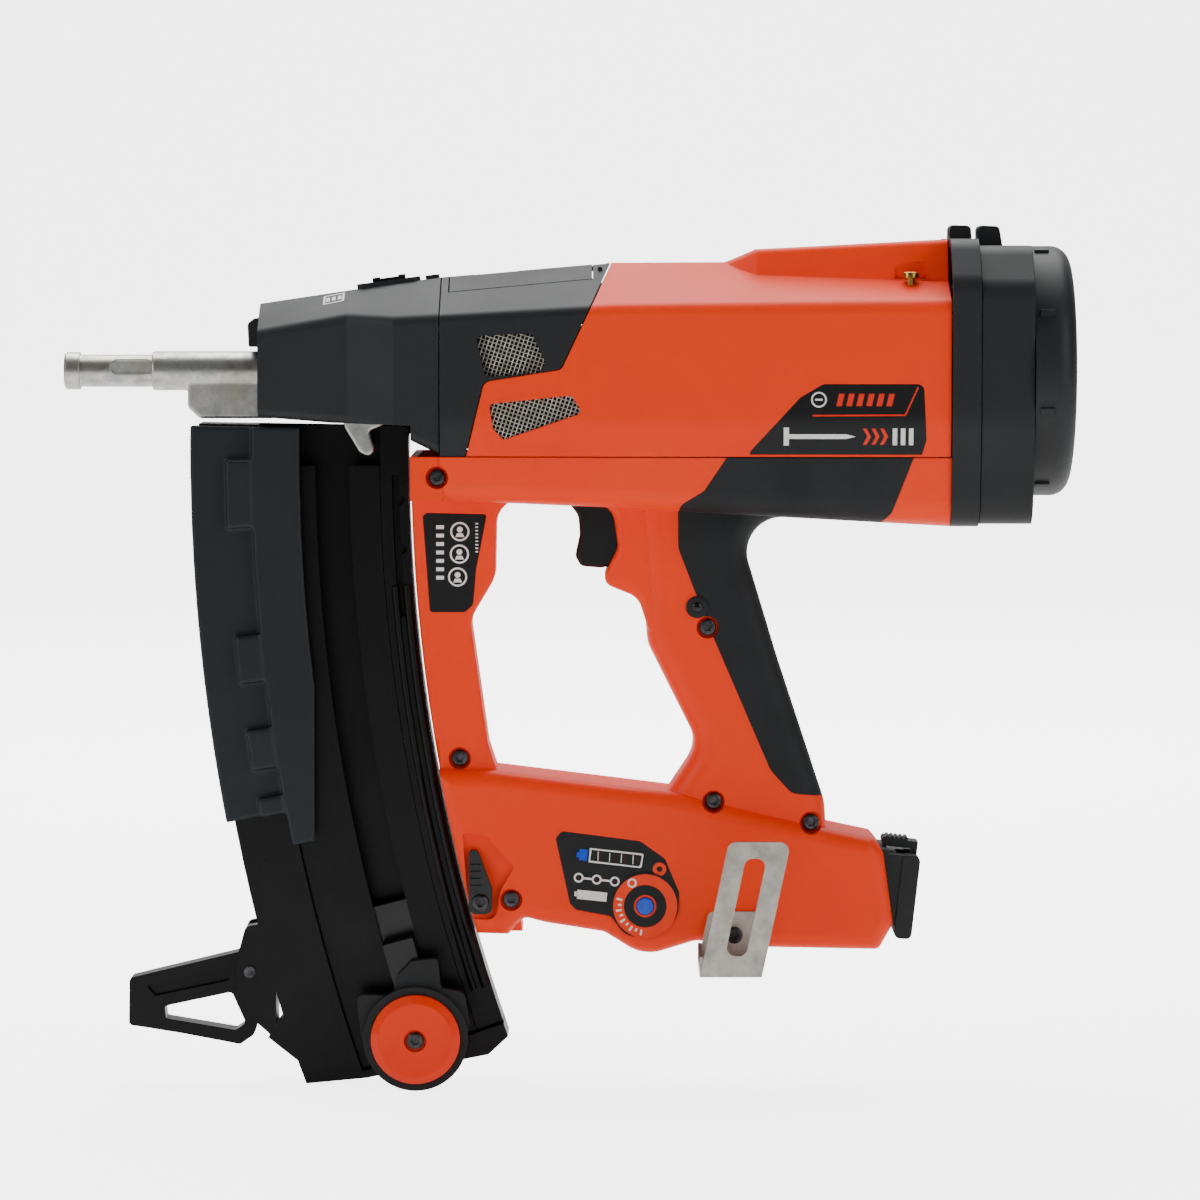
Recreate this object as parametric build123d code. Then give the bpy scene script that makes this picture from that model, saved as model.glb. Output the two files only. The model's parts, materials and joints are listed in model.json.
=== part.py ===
from build123d import *
import math
import os

# Gas-actuated track nailer, in millimetres. The origin is the centre of the muzzle's front face.
# +X runs back along the drive axis, +Y to the tool's right, +Z up.

# casings
wall = 3.0                  # moulded shell thickness
seam_gap = 0.4              # shut line between neighbouring mouldings
plate_depth = 0.8           # depth of the pockets that badges and labels sit in
grip_depth = 1.4            # thickness of the soft grip skin
shell_front = 161.7         # joint between nose shroud and mid shroud
shell_rear = 377.0          # joint between hood and rear collar
hood_seam = -35.0           # underside of the hood, top of the lower frame
belly_front_z = -54.0
belly_rear_z = -65.0
front_half_width = 42.0
rear_half_width = 50.0
handle_half = 19.0
grip_round = 9.0            # rounding of the grip's rims
cheek_half = 17.0
cheek_round = 3.5
foot_round = 6.5
strut_half = 15.0
strut_round = 2.0
foot_half = 24.0
nose_front = 84.0
lid_hinge = (229.2, 43.6)
pin_r = 1.0
lid_arm = 8.0               # from the lid's hinge to its rear edge
hood_screw_x = 360.5
hood_screw_y = 29.0
slider_slope = 7.6          # degrees, as the shroud's top rises there
slider_at = (139.0, 37.6)

# rear end
collar_length = 12.3
housing_length = 22.5
rear_gap = 0.3
cap_r = 53.4
cap_length = 17.8
ear_hole_r = 2.0
housing_front = shell_rear + collar_length
housing_rear = housing_front + housing_length
cap_hole_r = 46.0

# drive line
tip_r = 8.0
tip_length = 6.5
probe_r = 6.9
probe_bore_r = 5.0
probe_length = 96.0
probe_travel = 26.0
fit = 0.05                  # radial clearance of a running fit
loose = 0.35                # clearance between parts that only pass each other
guide_front = 37.5
guide_r = 8.4
guide_rear = 148.0
flange_r = 29.0
flange_drop = 22.0
bore_r = 16.5
cylinder_wall = 3.0
cylinder_length = 156.0
piston_travel = 118.0
piston_length = 9.0
blade_r = 3.2
bumper_length = 12.0
piston_rear = guide_rear + 5 + bumper_length + 1 + piston_travel + piston_length
rod_r = 2.0
rod_y = 21.5
rod_z = 11.0
sleeve_r = 39.0
sleeve_wall = 3.0
sleeve_front = 262.0
sleeve_length = 94.0
head_front = 376.0
fan_r = 28.0
fan_front = 357.0
motor_r = 14.0
fuel_r = 8.8
fuel_length = 88.0
spark_r = 4.0
spark_place = (20.0, 18.0)  # y, z on the cylinder head
fuel_z = 28.8

# magazine, swept about one centre
arc_x = 900.0
arc_z = -36.1
frame_r = 751.5             # front edge of the strut
rail_r0 = 752.8
track_r0 = 765.0
slot_r0 = 778.0
slot_width = 14.5
track_r1 = 817.0
mag_r1 = 842.0
mag_top_angle = -0.95
mag_back_y = 10.0
track_depth = 7.0
plate_thickness = 3.0
mag_front_y = -14.0
shield_y = -22.0
shield_thickness = 2.6
shield_r0 = 798.5
shield_fold = 819.0
shield_r1 = 845.5
knob_r = 19.0
knob_ring_r = 22.3
knob_angle = 18.3
knob_path_r = 789.4
strip_thickness = 0.3
drum_angle = 15.9           # degrees below the muzzle's level at rest
drum_r = 8.0
drum_path_r = track_r0 + 1.0 + strip_thickness + drum_r

# foot, battery and controls
battery_tilt = 6.5
battery_length = 104.0
battery_half_y = 18.5
battery_half_z = 17.0
battery_gap = 0.5
latch_pivot = (-2.1, 19.6)  # in the battery's own frame
latch_r = 2.2
cell_r = 7.0
cell_length = 48.0
button_r = 3.7
button_depth = 3.4
dial_r = 14.5
screw_r = 2.0
screw_head_r = 3.6
screw_head_length = 2.6
recess_r = 4.7
trigger_half = 11.0
hook_gap = 44.0
hook_thickness = 1.6
hook_tilt = 12.0
hook_half = 13.0
hook_top = -195.0
leg_half = 6.0
leg_pin_r = 2.5
leg_pivot = (78.7, -257.6)
leg_slot = 9.0


def outline(points):
    """Closed face in the XZ plane from (x, z, corner radius) points."""
    corners = [(x, z) for x, z, r in points]
    radii = [r for x, z, r in points]
    return Plane.XZ * make_face(FilletPolyline(*corners, radius=radii, close=True))


def prism(face, y0, y1):
    """Solid of an XZ face between two depths."""
    return Pos(0, y1, 0) * extrude(face, amount=y1 - y0)


def bar(points, y0, y1):
    return prism(outline(points), y0, y1)


def block(x0, x1, y0, y1, z0, z1):
    return Pos(x0, y0, z0) * Box(x1 - x0, y1 - y0, z1 - z0, align=(Align.MIN, Align.MIN, Align.MIN))


def rod_x(x0, x1, r, y=0, z=0):
    """Round bar along X."""
    stands = (Align.CENTER, Align.CENTER, Align.MIN)
    return Pos(x0, y, z) * Rot(0, 90, 0) * Cylinder(r, x1 - x0, align=stands)


def rod_along_y(x, z, y0, y1, r):
    """Round bar along Y."""
    stands = (Align.CENTER, Align.CENTER, Align.MIN)
    return Pos(x, y0, z) * Rot(-90, 0, 0) * Cylinder(r, y1 - y0, align=stands)


def tube_x(x0, x1, r_out, r_in, y=0, z=0):
    return rod_x(x0, x1, r_out, y, z) - rod_x(x0 - 1, x1 + 1, r_in, y, z)


def on_arc(r, degrees):
    """Point at a radius and a drop angle about the magazine's centre."""
    a = math.radians(degrees)
    return (arc_x - r * math.cos(a), arc_z - r * math.sin(a))


def band(r0, r1, a0, a1, y0, y1):
    """Curved bar between two radii and two drop angles."""
    mid = (a0 + a1) / 2
    edges = [
        ThreePointArc(on_arc(r0, a0), on_arc(r0, mid), on_arc(r0, a1)),
        Line(on_arc(r0, a1), on_arc(r1, a1)),
        ThreePointArc(on_arc(r1, a1), on_arc(r1, mid), on_arc(r1, a0)),
        Line(on_arc(r1, a0), on_arc(r0, a0)),
    ]
    return prism(Plane.XZ * make_face(edges), y0, y1)


def section(x, half, inset):
    """Closed YZ face at x, mirrored from (y, z, corner radius) points that run up one side."""
    points = half + [(-y, z, r) for y, z, r in reversed(half)]
    corners = [(y, z) for y, z, r in points]
    radii = [r for y, z, r in points]
    face = make_face(FilletPolyline(*corners, radius=radii, close=True))
    if inset:
        face = offset(face, amount=-inset, kind=Kind.INTERSECTION)
    return Plane(origin=(x, 0, 0), x_dir=(0, 1, 0), z_dir=(1, 0, 0)) * face


def skin_of(sections, inset=0):
    """Straight-sided loft through the sections, made smaller all round by inset."""
    return loft([section(x, half, inset) for x, half in sections], ruled=True)


body_sections = [
    (shell_front, [(38, belly_front_z, 8), (front_half_width, -20, 30), (front_half_width, 24, 4),
                   (22, 33, 6), (8, 40, 5)]),
    (234.0, [(42, belly_front_z - 3, 10), (47.5, -20, 30), (47.5, 28, 5), (24, 38.8, 8), (8, 46.2, 5)]),
    (shell_rear, [(43, belly_rear_z, 13), (rear_half_width, -20, 40), (rear_half_width, 30, 7),
                  (26, 38.8, 10), (8, 47, 5)]),
]

nose_sections = [
    (nose_front, [(26, -19, 4), (27, 17, 5), (13, 25, 5), (5, 28.8, 5)]),
    (122.0, [(29.5, -22, 4), (31, 24, 5), (17, 30.5, 5), (7, 34.5, 5)]),
    (142.0, [(38, -25, 4), (39.5, 23, 5), (20, 32, 6), (8, 37.4, 6)]),
    (shell_front - seam_gap, [(40, -34.4, 4), (front_half_width, 24, 5), (22, 33, 6), (8, 40, 6)]),
]

rear_section = [(44, belly_rear_z, 14), (51.5, -20, 40), (51.5, 38, 12), (34, 56.5, 14)]
housing_section = [(43, belly_rear_z + 1, 14), (51, -20, 40), (51, 36, 12), (32, 53.6, 14)]

shroud_edge = [(233.8, 60, 0), (233.8, 45.4, 0), (213.0, 1.6, 3), (180.5, -3.6, 4), (171.6, -40, 0)]
grip_edge = [(286, -30, 0), (273, -49.5, 3), (262.5, -56, 5), (262.5, -75, 10), (271, -97, 3),
             (274.5, -106, 3), (302, -170, 12), (311, -180, 6), (340, -183, 0)]
grip_rear = [(340, -75, 0), (345, -66, 0), (352, -59, 4), (363, -30, 0)]
badge_points = [(289.8, -35.4, 2), (313.2, -10, 3), (322.8, -4.4, 3), (365, -4.4, 3), (366.2, -28, 2),
                (363, -38.4, 2)]
window_points = [
    [(177.0, 15.6, 2), (200.5, 16.8, 2), (206.5, 4.2, 2), (203, 0.0, 2), (181.0, -1.6, 2)],
    [(182.5, -12.9, 2), (217.2, -9.2, 2), (222, -16.5, 2), (188.5, -28.0, 2), (184.2, -23.4, 2)],
]

frame_screw_places = [(160.4, -44.1, 38), (169.2, -165.4, strut_half), (191.3, -225.2, foot_half),
                      (277.7, -183.5, handle_half), (319.4, -192.6, handle_half),
                      (275.1, -108.9, handle_half)]
dial_place = (248.5, -227.8)
lever_pivot = (178.2, -226.1)
hook_foot = (286.5, -240.0)
gussets = [(0.1, 2.1), (5.3, 6.7), (8.1, 9.3), (10.15, 10.7)]
bolt_places = [(-16, -18), (16, -18), (-13, 22), (13, 22)]
label_points = [(153.6, -61.6, 1), (155.2, -60.2, 1), (180.8, -60.8, 1), (180.2, -64.5, 1),
                (176.3, -84.5, 8), (175, -99.5, 3), (171.6, -102.6, 2), (156.6, -102.6, 1)]
panel_points = [(210.3, -198.6, 2), (213, -195.7, 2), (246.4, -200, 4), (257, -207.6, 4),
                (263, -222, 3), (262.5, -233, 10), (252, -241.5, 10), (240, -240.5, 8), (234, -232.2, 4),
                (219, -229.4, 2), (216.4, -226.8, 2)]
lever_recess = [(170.6, -196.5, 1), (181, -198, 2), (192.5, -211, 2), (186.5, -221.5, 2), (184.5, -233.5, 4),
                (173.5, -233.5, 4)]


def grip_face():
    """Side view of the pistol grip's column."""
    return outline([
        (244, -44, 0), (330, -44, 0), (330, -62, 0), (287, -62.5, 15), (305, -122, 120),
        (325.5, -184, 20), (327, -210, 0), (262, -210, 0), (257.5, -181, 7), (271.5, -160, 15),
        (249.5, -116, 14),
    ])


def trigger_guard_face():
    """Side view of the cheeks beside the trigger."""
    return outline([
        (213.8, -44, 0), (262, -44, 0), (270, -112, 0), (251, -114, 6), (245.5, -96.5, 9), (229.5, -90, 4.5),
        (237, -75, 7), (234.5, -58, 8), (213.8, -53.4, 0),
    ])


def foot_face():
    return outline([
        (183.5, -170.3, 6), (262, -180, 30), (302, -190, 20), (346, -199.5, 3), (350.5, -205, 3),
        (354.8, -236, 4), (348.5, -247.2, 3), (302, -246.3, 20), (270, -243.4, 10), (248, -250.2, 18),
        (231, -239.6, 8), (206, -235.6, 6), (196.5, -233.2, 4), (190, -240.6, 0), (175.2, -240.2, 0),
        (158.0, -170.0, 0),
    ])


def strut_shape(y0, y1, inset=0):
    """Front strut, whose leading edge follows the magazine's arc."""
    top, bottom = -46.0 - inset, -240.0 + inset
    a0 = math.degrees(math.asin((arc_z - top) / frame_r))
    a1 = math.degrees(math.asin((arc_z - bottom) / frame_r))
    front = frame_r - inset
    lead = ThreePointArc(on_arc(front, a0), on_arc(front, (a0 + a1) / 2), on_arc(front, a1))
    rear = FilletPolyline(
        lead @ 1, (196 - inset, bottom), (186.5 - inset, -175), (181.5 - inset, -160),
        (173.8 - inset, -106), (184.5 - inset, -88), (185 - inset, -58), (204, -50), (204, top), lead @ 0,
        radius=[0, 4, 12, 12, 12, 12, 0, 0])
    return prism(Plane.XZ * make_face([lead] + list(rear.edges())), y0, y1)


def shrunk(face, by):
    flat = Plane.XZ.to_local_coords(face)
    return Plane.XZ * offset(flat, amount=-by, kind=Kind.INTERSECTION)


def below_seam(x0=140.0, x1=380.0):
    return block(x0, x1, -60, 60, -90, hood_seam - seam_gap)


def rounded_rims(slab, half, r):
    """A slab about the middle plane with the edges of its two flat sides rounded."""
    flat_edges = slab.edges().filter_by(lambda e: e.bounding_box().size.Y < 0.01)
    return fillet(flat_edges.filter_by(lambda e: abs(e.center().Y) > half - 0.01), r)


def rounded_slab(face, half, r, inset):
    """Rounded slab about the middle plane, made smaller all round by inset."""
    if inset:
        face = shrunk(face, inset)
    return rounded_rims(prism(face, inset - half, half - inset), half - inset, r - inset)


def lower_outer(inset=0):
    """Outer form of the orange lower frame: belly, handle, strut and foot."""
    nose_half = 39 - inset
    nose_end = block(149.0 + inset, shell_front + 1, -nose_half, nose_half, belly_front_z + inset, hood_seam)
    belly = (skin_of(body_sections, inset) + nose_end) & below_seam()
    column = rounded_slab(grip_face(), handle_half, grip_round, inset)
    cheeks = rounded_slab(trigger_guard_face(), cheek_half, cheek_round, inset)
    foot = rounded_slab(foot_face(), foot_half, foot_round, inset)
    strut = strut_shape(-strut_half + inset, strut_half - inset, inset)
    if not inset:
        strut = rounded_rims(strut, strut_half, strut_round)
    return (belly + column + cheeks + strut) + (foot - band(frame_r, frame_r + 60, 2, 19, -60, 60))


def grip_zone():
    """Region that the soft grip covers, seen from the side."""
    return bar(grip_edge + grip_rear, -60, 60)


def battery_frame():
    """Local frame of the battery slot: local X runs out of the foot's rear end."""
    return Location((352.5, 0, -221.5), (0, battery_tilt, 0))


def battery_block(x0, x1, grow=0):
    size = (x1 - x0, 2 * (battery_half_y + grow), 2 * (battery_half_z + grow))
    return battery_frame() * Pos((x0 + x1) / 2, 0, 0) * Box(*size)


def frame_shell():
    """Both halves of the lower frame, before they are split down the middle."""
    shell = frame_form - lower_outer(wall)
    # posts that the screws clamp, and ribs that carry the cylinder
    for x, z, half in frame_screw_places:
        shell += rod_along_y(x, z, -half + 1, half - 1, 5.4) & frame_form
    for x in (196, 252):
        foot_of_rib = block(x, x + 3, -34, 34, -60, hood_seam - 1) & frame_form
        rib = foot_of_rib + block(x, x + 3, -32, 32, hood_seam - 2, -8)
        shell += rib - rod_x(190, 260, bore_r + cylinder_wall)
    # trigger well, open at the front
    well = block(200, 252, -trigger_half - loose, trigger_half + loose, -84.4, -51.5)
    shell -= well & block(200, 252, -60, 60, -90, -48)
    # battery slot, open at the rear
    pocket = battery_block(-battery_length - 3, 40, battery_gap)
    shell += battery_block(-battery_length - 5, -1, battery_gap + 2) & frame_form
    shell -= pocket
    shell -= grip_skin
    # recesses and screw holes
    for x, z, half in frame_screw_places:
        head_seat = half - 3.2
        shell -= rod_along_y(x, z, -half - 8, -head_seat, recess_r)
        shell -= rod_along_y(x, z, -head_seat - 1, half - 3, screw_r + fit)
    shell -= rod_along_y(lever_pivot[0], lever_pivot[1], -foot_half - 1, -foot_half + 14, screw_r + fit)
    shell -= bar(lever_recess, -foot_half - 1, -foot_half + 2.4)
    shell -= bar(panel_points, -foot_half - 1, -foot_half + plate_depth)
    shell -= rod_along_y(dial_place[0], dial_place[1], -foot_half - 1, -foot_half + 8, button_r + loose)
    shell -= bar(label_points, -strut_half - 1, -strut_half + plate_depth)
    shell -= rod_along_y(*hook_foot, -foot_half - 1, -foot_half + 12, screw_r + fit)
    return shell


def frame_half(side):
    keep = block(100, 420, 0, 70, -300, 10) if side > 0 else block(100, 420, -70, 0, -300, 10)
    return whole_frame & keep


def grip_overmould():
    part = grip_skin
    for x, z, half in frame_screw_places:
        part -= rod_along_y(x, z, -half - 8, -half + 3.2, recess_r)
    return part


def upper_shell():
    above = block(100, 400, -70, 70, hood_seam, 90)
    hood_bulge = bulge(0)
    outer = skin_of(body_sections) + hood_bulge
    inner = skin_of(body_sections, wall) + bulge(wall)
    return (outer - inner - rod_x(100, 260, 14)) & above


def bulge(inset):
    """Raised air duct along the hood's top, wider towards the rear."""
    zs = 40.0
    steps = [(276.0, 10, 44.2), (285.5, 16, 47.5), (296.0, 21, 52.0), (shell_rear, 27, 56.2)]
    faces = []
    for x, half, top in steps:
        half_points = [(half, 20, 0), (half, zs - 1, 2), (half - 6, top, 3.5)]
        faces.append((x + (inset if x < 280 else 0), half_points))
    return skin_of(faces, inset)


def shroud_zone(shift=0):
    """Everything ahead of the slanted line between mid shroud and hood."""
    points = [(x - shift, z + 0.6 * shift, r) for x, z, r in shroud_edge]
    return bar([(140, -40, 0), (140, 61, 0)] + points, -70, 70)


def windows():
    cut = bar(window_points[0], -70, 70) + bar(window_points[1], -70, 70)
    return cut


def mid_shroud():
    part = upper_shell() & shroud_zone(seam_gap)
    part -= lid_zone(seam_gap / 2)
    part -= windows()
    part -= block(225, lid_hinge[0] + 2.6, -lid_arm - 0.4, lid_arm + 0.4, 40, 60)
    return part + rod_along_y(*lid_hinge, -14, 14, pin_r)


def lid_zone(grow=0):
    return block(165.0 - grow, 226.0 + grow, -21.0 - grow, 21.0 + grow, 25, 60)


def fuel_lid():
    lid = skin_of(body_sections) - skin_of(body_sections, wall)
    lid = lid & lid_zone(-seam_gap / 2)
    slot = Pos(184.5, 0, 41.5) * Rot(0, -5, 0) * Box(19, 16, 3.2)
    lid -= slot
    knuckle = rod_along_y(*lid_hinge, -lid_arm, lid_arm, 2.0)
    arm = block(220, lid_hinge[0], -lid_arm, lid_arm, lid_hinge[1] - 1.0, lid_hinge[1] + 1.2)
    return lid + (knuckle + arm) - rod_along_y(*lid_hinge, -9, 9, pin_r + fit)


def hood():
    part = upper_shell() - shroud_zone(0)
    part &= block(100, shell_rear - seam_gap, -70, 70, -60, 90)
    part -= windows()
    skin = skin_of(body_sections) - skin_of(body_sections, plate_depth)
    part -= skin & bar(badge_points, -70, 70) & block(280, 370, -70, 70, hood_seam + 1, 10)
    # corner pockets and the posts for the two cover screws
    for side in (-1, 1):
        part -= Pos(360.5, side * 30, 43) * Box(13, 14, 7)
        part += rod_pocket(side)
        part -= Pos(hood_screw_x, side * hood_screw_y, 10) * Cylinder(screw_r + fit, 80)
    return part


def rod_pocket(side):
    outer = skin_of(body_sections, wall)
    tower = Pos(hood_screw_x, side * hood_screw_y, 20) * Cylinder(4.6, 32)
    return (tower & outer & block(300, 380, -70, 70, 12, 38.0)) - rod_x(300, 380, 41)


def hood_screw(side):
    at = Pos(hood_screw_x, side * hood_screw_y, 0)
    return at * Pos(0, 0, 41.0) * Cylinder(screw_head_r, 3) + at * Pos(0, 0, 34.0) * Cylinder(screw_r, 12)


def badge(side):
    skin = skin_of(body_sections) - skin_of(body_sections, plate_depth)
    near, far = sorted((0, side * 70))
    half = block(280, 370, near, far, hood_seam + 1, 10)
    return skin & bar(badge_points, -70, 70) & half


def intake_mesh(index, side):
    """Flat woven pane set into the middle of the shell's wall."""
    layer = skin_of(body_sections, 1.4) - skin_of(body_sections, 2.4)
    half = block(150, 240, 0, 70, -34, 30) if side > 0 else block(150, 240, -70, 0, -34, 30)
    return layer & bar(window_points[index], -70, 70) & half


def upper_mesh(side):
    return intake_mesh(0, side)


def lower_mesh(side):
    return intake_mesh(1, side)


def nose_shroud():
    part = skin_of(nose_sections) + slider_frame() + front_plate() - nose_inside()
    part -= rod_x(nose_front - 6, nose_front + 12, guide_r + 0.6)
    part -= block(117, 140, -14.5, -5, -60, -15)
    part -= block(nose_front - 5, 170, -8.6, 8.6, -60, 0)
    part -= band(rail_r0 - 2, mag_r1 + 8, mag_top_angle - 0.12, 6, -45, 14)
    part -= slider_slot()
    part -= Pos(150, 0, 0) * rod_x(0, 20, 14)
    return part


def nose_inside():
    inner = [(x + (wall if x < 90 else 0), half) for x, half in nose_sections]
    inner[-1] = (shell_front + 1, inner[-1][1])
    return skin_of(inner, wall - 0.5)


def on_slope(x, z):
    return Location((slider_at[0] + x, 0, slider_at[1] + z), (0, -slider_slope, 0))


def slider_slot():
    return on_slope(0, 0) * Box(24, 5, 14)


def slider_frame():
    """Raised bezel round the power slider."""
    plate = Box(27, 15, 4.4)
    plate = fillet(plate.edges().filter_by(Axis.Z), 3)
    return on_slope(0, -1.0) * (plate - Box(22.5, 9, 12))


def power_slider():
    tab = on_slope(0, 1.4) * Box(14, 8.2, 3.2)
    grooves = on_slope(0, 3.0) * Box(8, 10, 1.2)
    stem = on_slope(0, -2.6) * Box(10, 4.2, 7.6)
    catch = on_slope(0, -6.0) * Box(12, 8.5, 1.6)
    return tab + stem + catch - grooves


def lid_latch():
    latch = on_slope(18.6, 2.2) * Box(5.6, 12, 2.6)
    return latch - skin_of(nose_sections)


def front_plate():
    points = [(79.6, 10.5, 1), (79.2, 20.5, 2), (82, 22.6, 1), (nose_front, 22.8, 0), (nose_front, 10.5, 0)]
    return bar(points, -15, 15)


def rear_collar():
    outer = extrude(section(shell_rear, rear_section, 0), amount=collar_length - rear_gap)
    inner = Pos(-1, 0, 0) * extrude(section(shell_rear, rear_section, wall + 0.5), amount=collar_length + 2)
    spokes = block(shell_rear + 5, shell_rear + 9, -50, 50, -6, 6) & outer
    ring = tube_x(shell_rear + 5, shell_rear + 9, 46, 44.05)
    part = outer - inner + (ring & outer) + spokes - rod_x(shell_rear, shell_rear + 20, 44.05)
    x0 = shell_rear + 1.2
    ear = bar([(x0, 54, 0), (x0, 62.4, 2.2), (x0 + 9, 62.0, 2), (x0 + 9.6, 54, 0)], -9, 9)
    return part + ear - lanyard_bore()


def lanyard_bore():
    bores = rod_x(shell_rear - 2, shell_rear + 50, ear_hole_r, -4.6, 59.0)
    return bores + rod_x(shell_rear - 2, shell_rear + 50, ear_hole_r, 4.6, 59.0)


def rear_housing():
    outer = extrude(section(housing_front, housing_section, 0), amount=housing_length - rear_gap)
    inner = Pos(-1, 0, 0) * extrude(section(housing_front, housing_section, wall), amount=housing_length - 2)
    part = outer - inner - rod_x(housing_front, housing_rear + 5, cap_hole_r)
    x = housing_front + 1.0
    tall = bar([(x, 50, 0), (x, 62.2, 2.2), (x + 9.0, 61.8, 2),
                (housing_front + 11.6, 52.6, 4), (housing_front + 14, 50, 0)], -9, 9)
    return part + (tall - inner) - lanyard_bore()


def rear_cap():
    start = housing_rear
    disc = rod_x(start, start + cap_length, cap_r)
    disc = fillet(disc.faces().sort_by(Axis.X)[-1].edges(), 8)
    spigot = tube_x(start - 6, start + 1, cap_hole_r - fit, cap_hole_r - 3)
    part = disc - rod_x(start - 1, start + cap_length - 5, cap_hole_r - 6) + spigot
    for k in range(8):
        rib = block(start + 2, start + 8, cap_r - 2, cap_r + 1.1, -1.5, 1.5)
        part += Rot(17 + 45 * k, 0, 0) * rib
    for k in range(5):
        part -= Rot(36 * k, 0, 0) * block(start + cap_length - 1, start + cap_length + 1, -26, 26, -1, 1)
    return part


def nose_guide():
    """Steel casting that the probe slides through and the fasteners are fed into."""
    x1 = guide_rear
    body = rod_x(guide_front, x1, guide_r)
    keel = bar([(52.9, 0, 0), (52.9, -15.5, 1), (58, -20.2, 1), (x1, -20.2, 0), (x1, 0, 0)], -7, 7)
    flange = rod_x(x1 - 6, x1, flange_r) - block(x1 - 7, x1 + 1, -40, 40, -40, -flange_drop)
    claw = bar([(119.0, -18, 0), (120.2, -24, 0), (126.5, -34.4, 1), (130.5, -36.4, 2), (133.4, -33.5, 2),
                (130.8, -25.3, 1), (137, -22.8, 0), (137, -18, 0)], -13.5, -10.5)
    claw += block(119, 137, -13.5, -6, -20.2, -17)
    part = body + keel + flange + claw
    part -= rod_x(guide_front - 1, probe_length + probe_travel + 1, probe_r + fit)
    part -= rod_x(guide_front, x1 + 1, blade_r + loose)
    part -= block(88, 138, -3.7, 3.7, -21, 0)
    part -= block(probe_length - 8, probe_length + probe_travel + 1, -3.2, 3.2, 0, 12)
    for y in (-rod_y, rod_y):
        part -= rod_x(x1 - 10, x1 + 1, rod_r + fit, y, rod_z)
    for y, z in bolt_places:
        part -= rod_x(x1 - 10, x1 + 1, 2.0 + fit, y, z)
    return part


def nose_bolts():
    group = []
    for y, z in bolt_places:
        head = rod_x(guide_rear - 10, guide_rear - 6, 3.4, y, z)
        group.append(head + rod_x(guide_rear - 7, guide_rear + 4, 2.0, y, z))
    return Compound(children=group)


def probe_tip():
    part = rod_x(0, tip_length, tip_r) + rod_x(tip_length - 1, probe_length, probe_r)
    part = chamfer(part.faces().sort_by(Axis.X)[0].edges(), 0.8)
    part -= rod_x(-1, probe_length + 1, probe_bore_r)
    part -= block(46, probe_length + 1, -3.9, 3.9, -9, 0)
    for side in (-1, 1):
        part -= bar([(20, -1, 2), (20, 4.4, 2), (76, 4.4, 2), (76, -1, 2)], side * 6.3 - 1, side * 6.3 + 1) \
            - block(19, 77, -5.8, 5.8, -4, 8)
    return part


def probe_link():
    """Yoke over the guide, and the two rods that push the chamber sleeve shut."""
    x0 = probe_length - 6
    yoke = block(x0, x0 + 5, -rod_y, rod_y, 9.4, 13.6)
    web = block(x0, x0 + 5, -2.6, 2.6, 0, 10)
    part = yoke + web
    for y in (-rod_y, rod_y):
        part += rod_x(x0, x0 + 5, rod_r + 0.9, y, rod_z)
        part += rod_x(x0 + 1, sleeve_front + 1, rod_r, y, rod_z)
    return part - rod_x(x0 - 1, x0 + 6, probe_r)


def probe_springs():
    x0 = probe_length - 0.5
    springs = [tube_x(x0, guide_rear - 6.4, rod_r + 1.2, rod_r + loose, y, rod_z) for y in (-rod_y, rod_y)]
    return Compound(children=springs)


def chamber_sleeve():
    x1 = sleeve_front + sleeve_length
    inner = sleeve_r - sleeve_wall
    part = tube_x(sleeve_front, x1, sleeve_r, inner)
    part += tube_x(sleeve_front, sleeve_front + 4, sleeve_r - 1, bore_r + cylinder_wall + 0.6)
    for y in (-rod_y, rod_y):
        part -= rod_x(sleeve_front - 1, sleeve_front + 1, rod_r, y, rod_z)
    return part


def cylinder():
    x0 = guide_rear
    outer = bore_r + cylinder_wall
    part = tube_x(x0, x0 + cylinder_length, outer, bore_r)
    part += tube_x(x0, x0 + 5, outer, blade_r + loose)
    seal_r = sleeve_r - sleeve_wall - loose
    part += tube_x(x0 + cylinder_length - 8, x0 + cylinder_length, seal_r, bore_r)
    part += tube_x(x0, x0 + 5, flange_r, outer - 1) - block(x0 - 1, x0 + 6, -40, 40, -40, -flange_drop)
    for y, z in bolt_places:
        part -= rod_x(x0 - 1, x0 + 6, 2.0 + fit, y, z)
    for y in (-rod_y, rod_y):
        part -= rod_x(x0 - 1, x0 + 6, rod_r + loose, y, rod_z)
    for k in range(6):
        port = Pos(x0 + cylinder_length - 26, 0, 0) * Rot(60 * k + 30, 0, 0) * Pos(0, 0, bore_r + 1)
        part -= port * Cylinder(3, 8)
    return part


def bumper():
    return tube_x(guide_rear + 5, guide_rear + 5 + bumper_length, bore_r - 0.1, blade_r + 2.5)


def piston():
    disc = rod_x(piston_rear - piston_length, piston_rear, bore_r - fit)
    for x in (piston_rear - 6.5, piston_rear - 3.5):
        disc -= tube_x(x, x + 1.6, bore_r + 1, bore_r - 2)
    return disc - rod_x(piston_rear - piston_length - 1, piston_rear - 2, blade_r)


def piston_rings():
    rings = [tube_x(x, x + 1.6, bore_r - fit, bore_r - 2) for x in (piston_rear - 6.5, piston_rear - 3.5)]
    return Compound(children=rings)


def driver_blade():
    return rod_x(142.5, piston_rear - 2, blade_r)


def cylinder_head():
    x0 = head_front
    boss_r = sleeve_r - sleeve_wall - loose
    part = rod_x(x0, x0 + 8, boss_r) + rod_x(x0 + 7.6, x0 + 13, 44)
    part -= rod_x(x0 + 6, x0 + 14, motor_r + 0.1)
    part -= rod_x(x0 - 1, x0 + 8, 2.0 + fit)
    part -= rod_x(x0 - 1, x0 + 14, spark_r, *spark_place)
    return part


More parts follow.
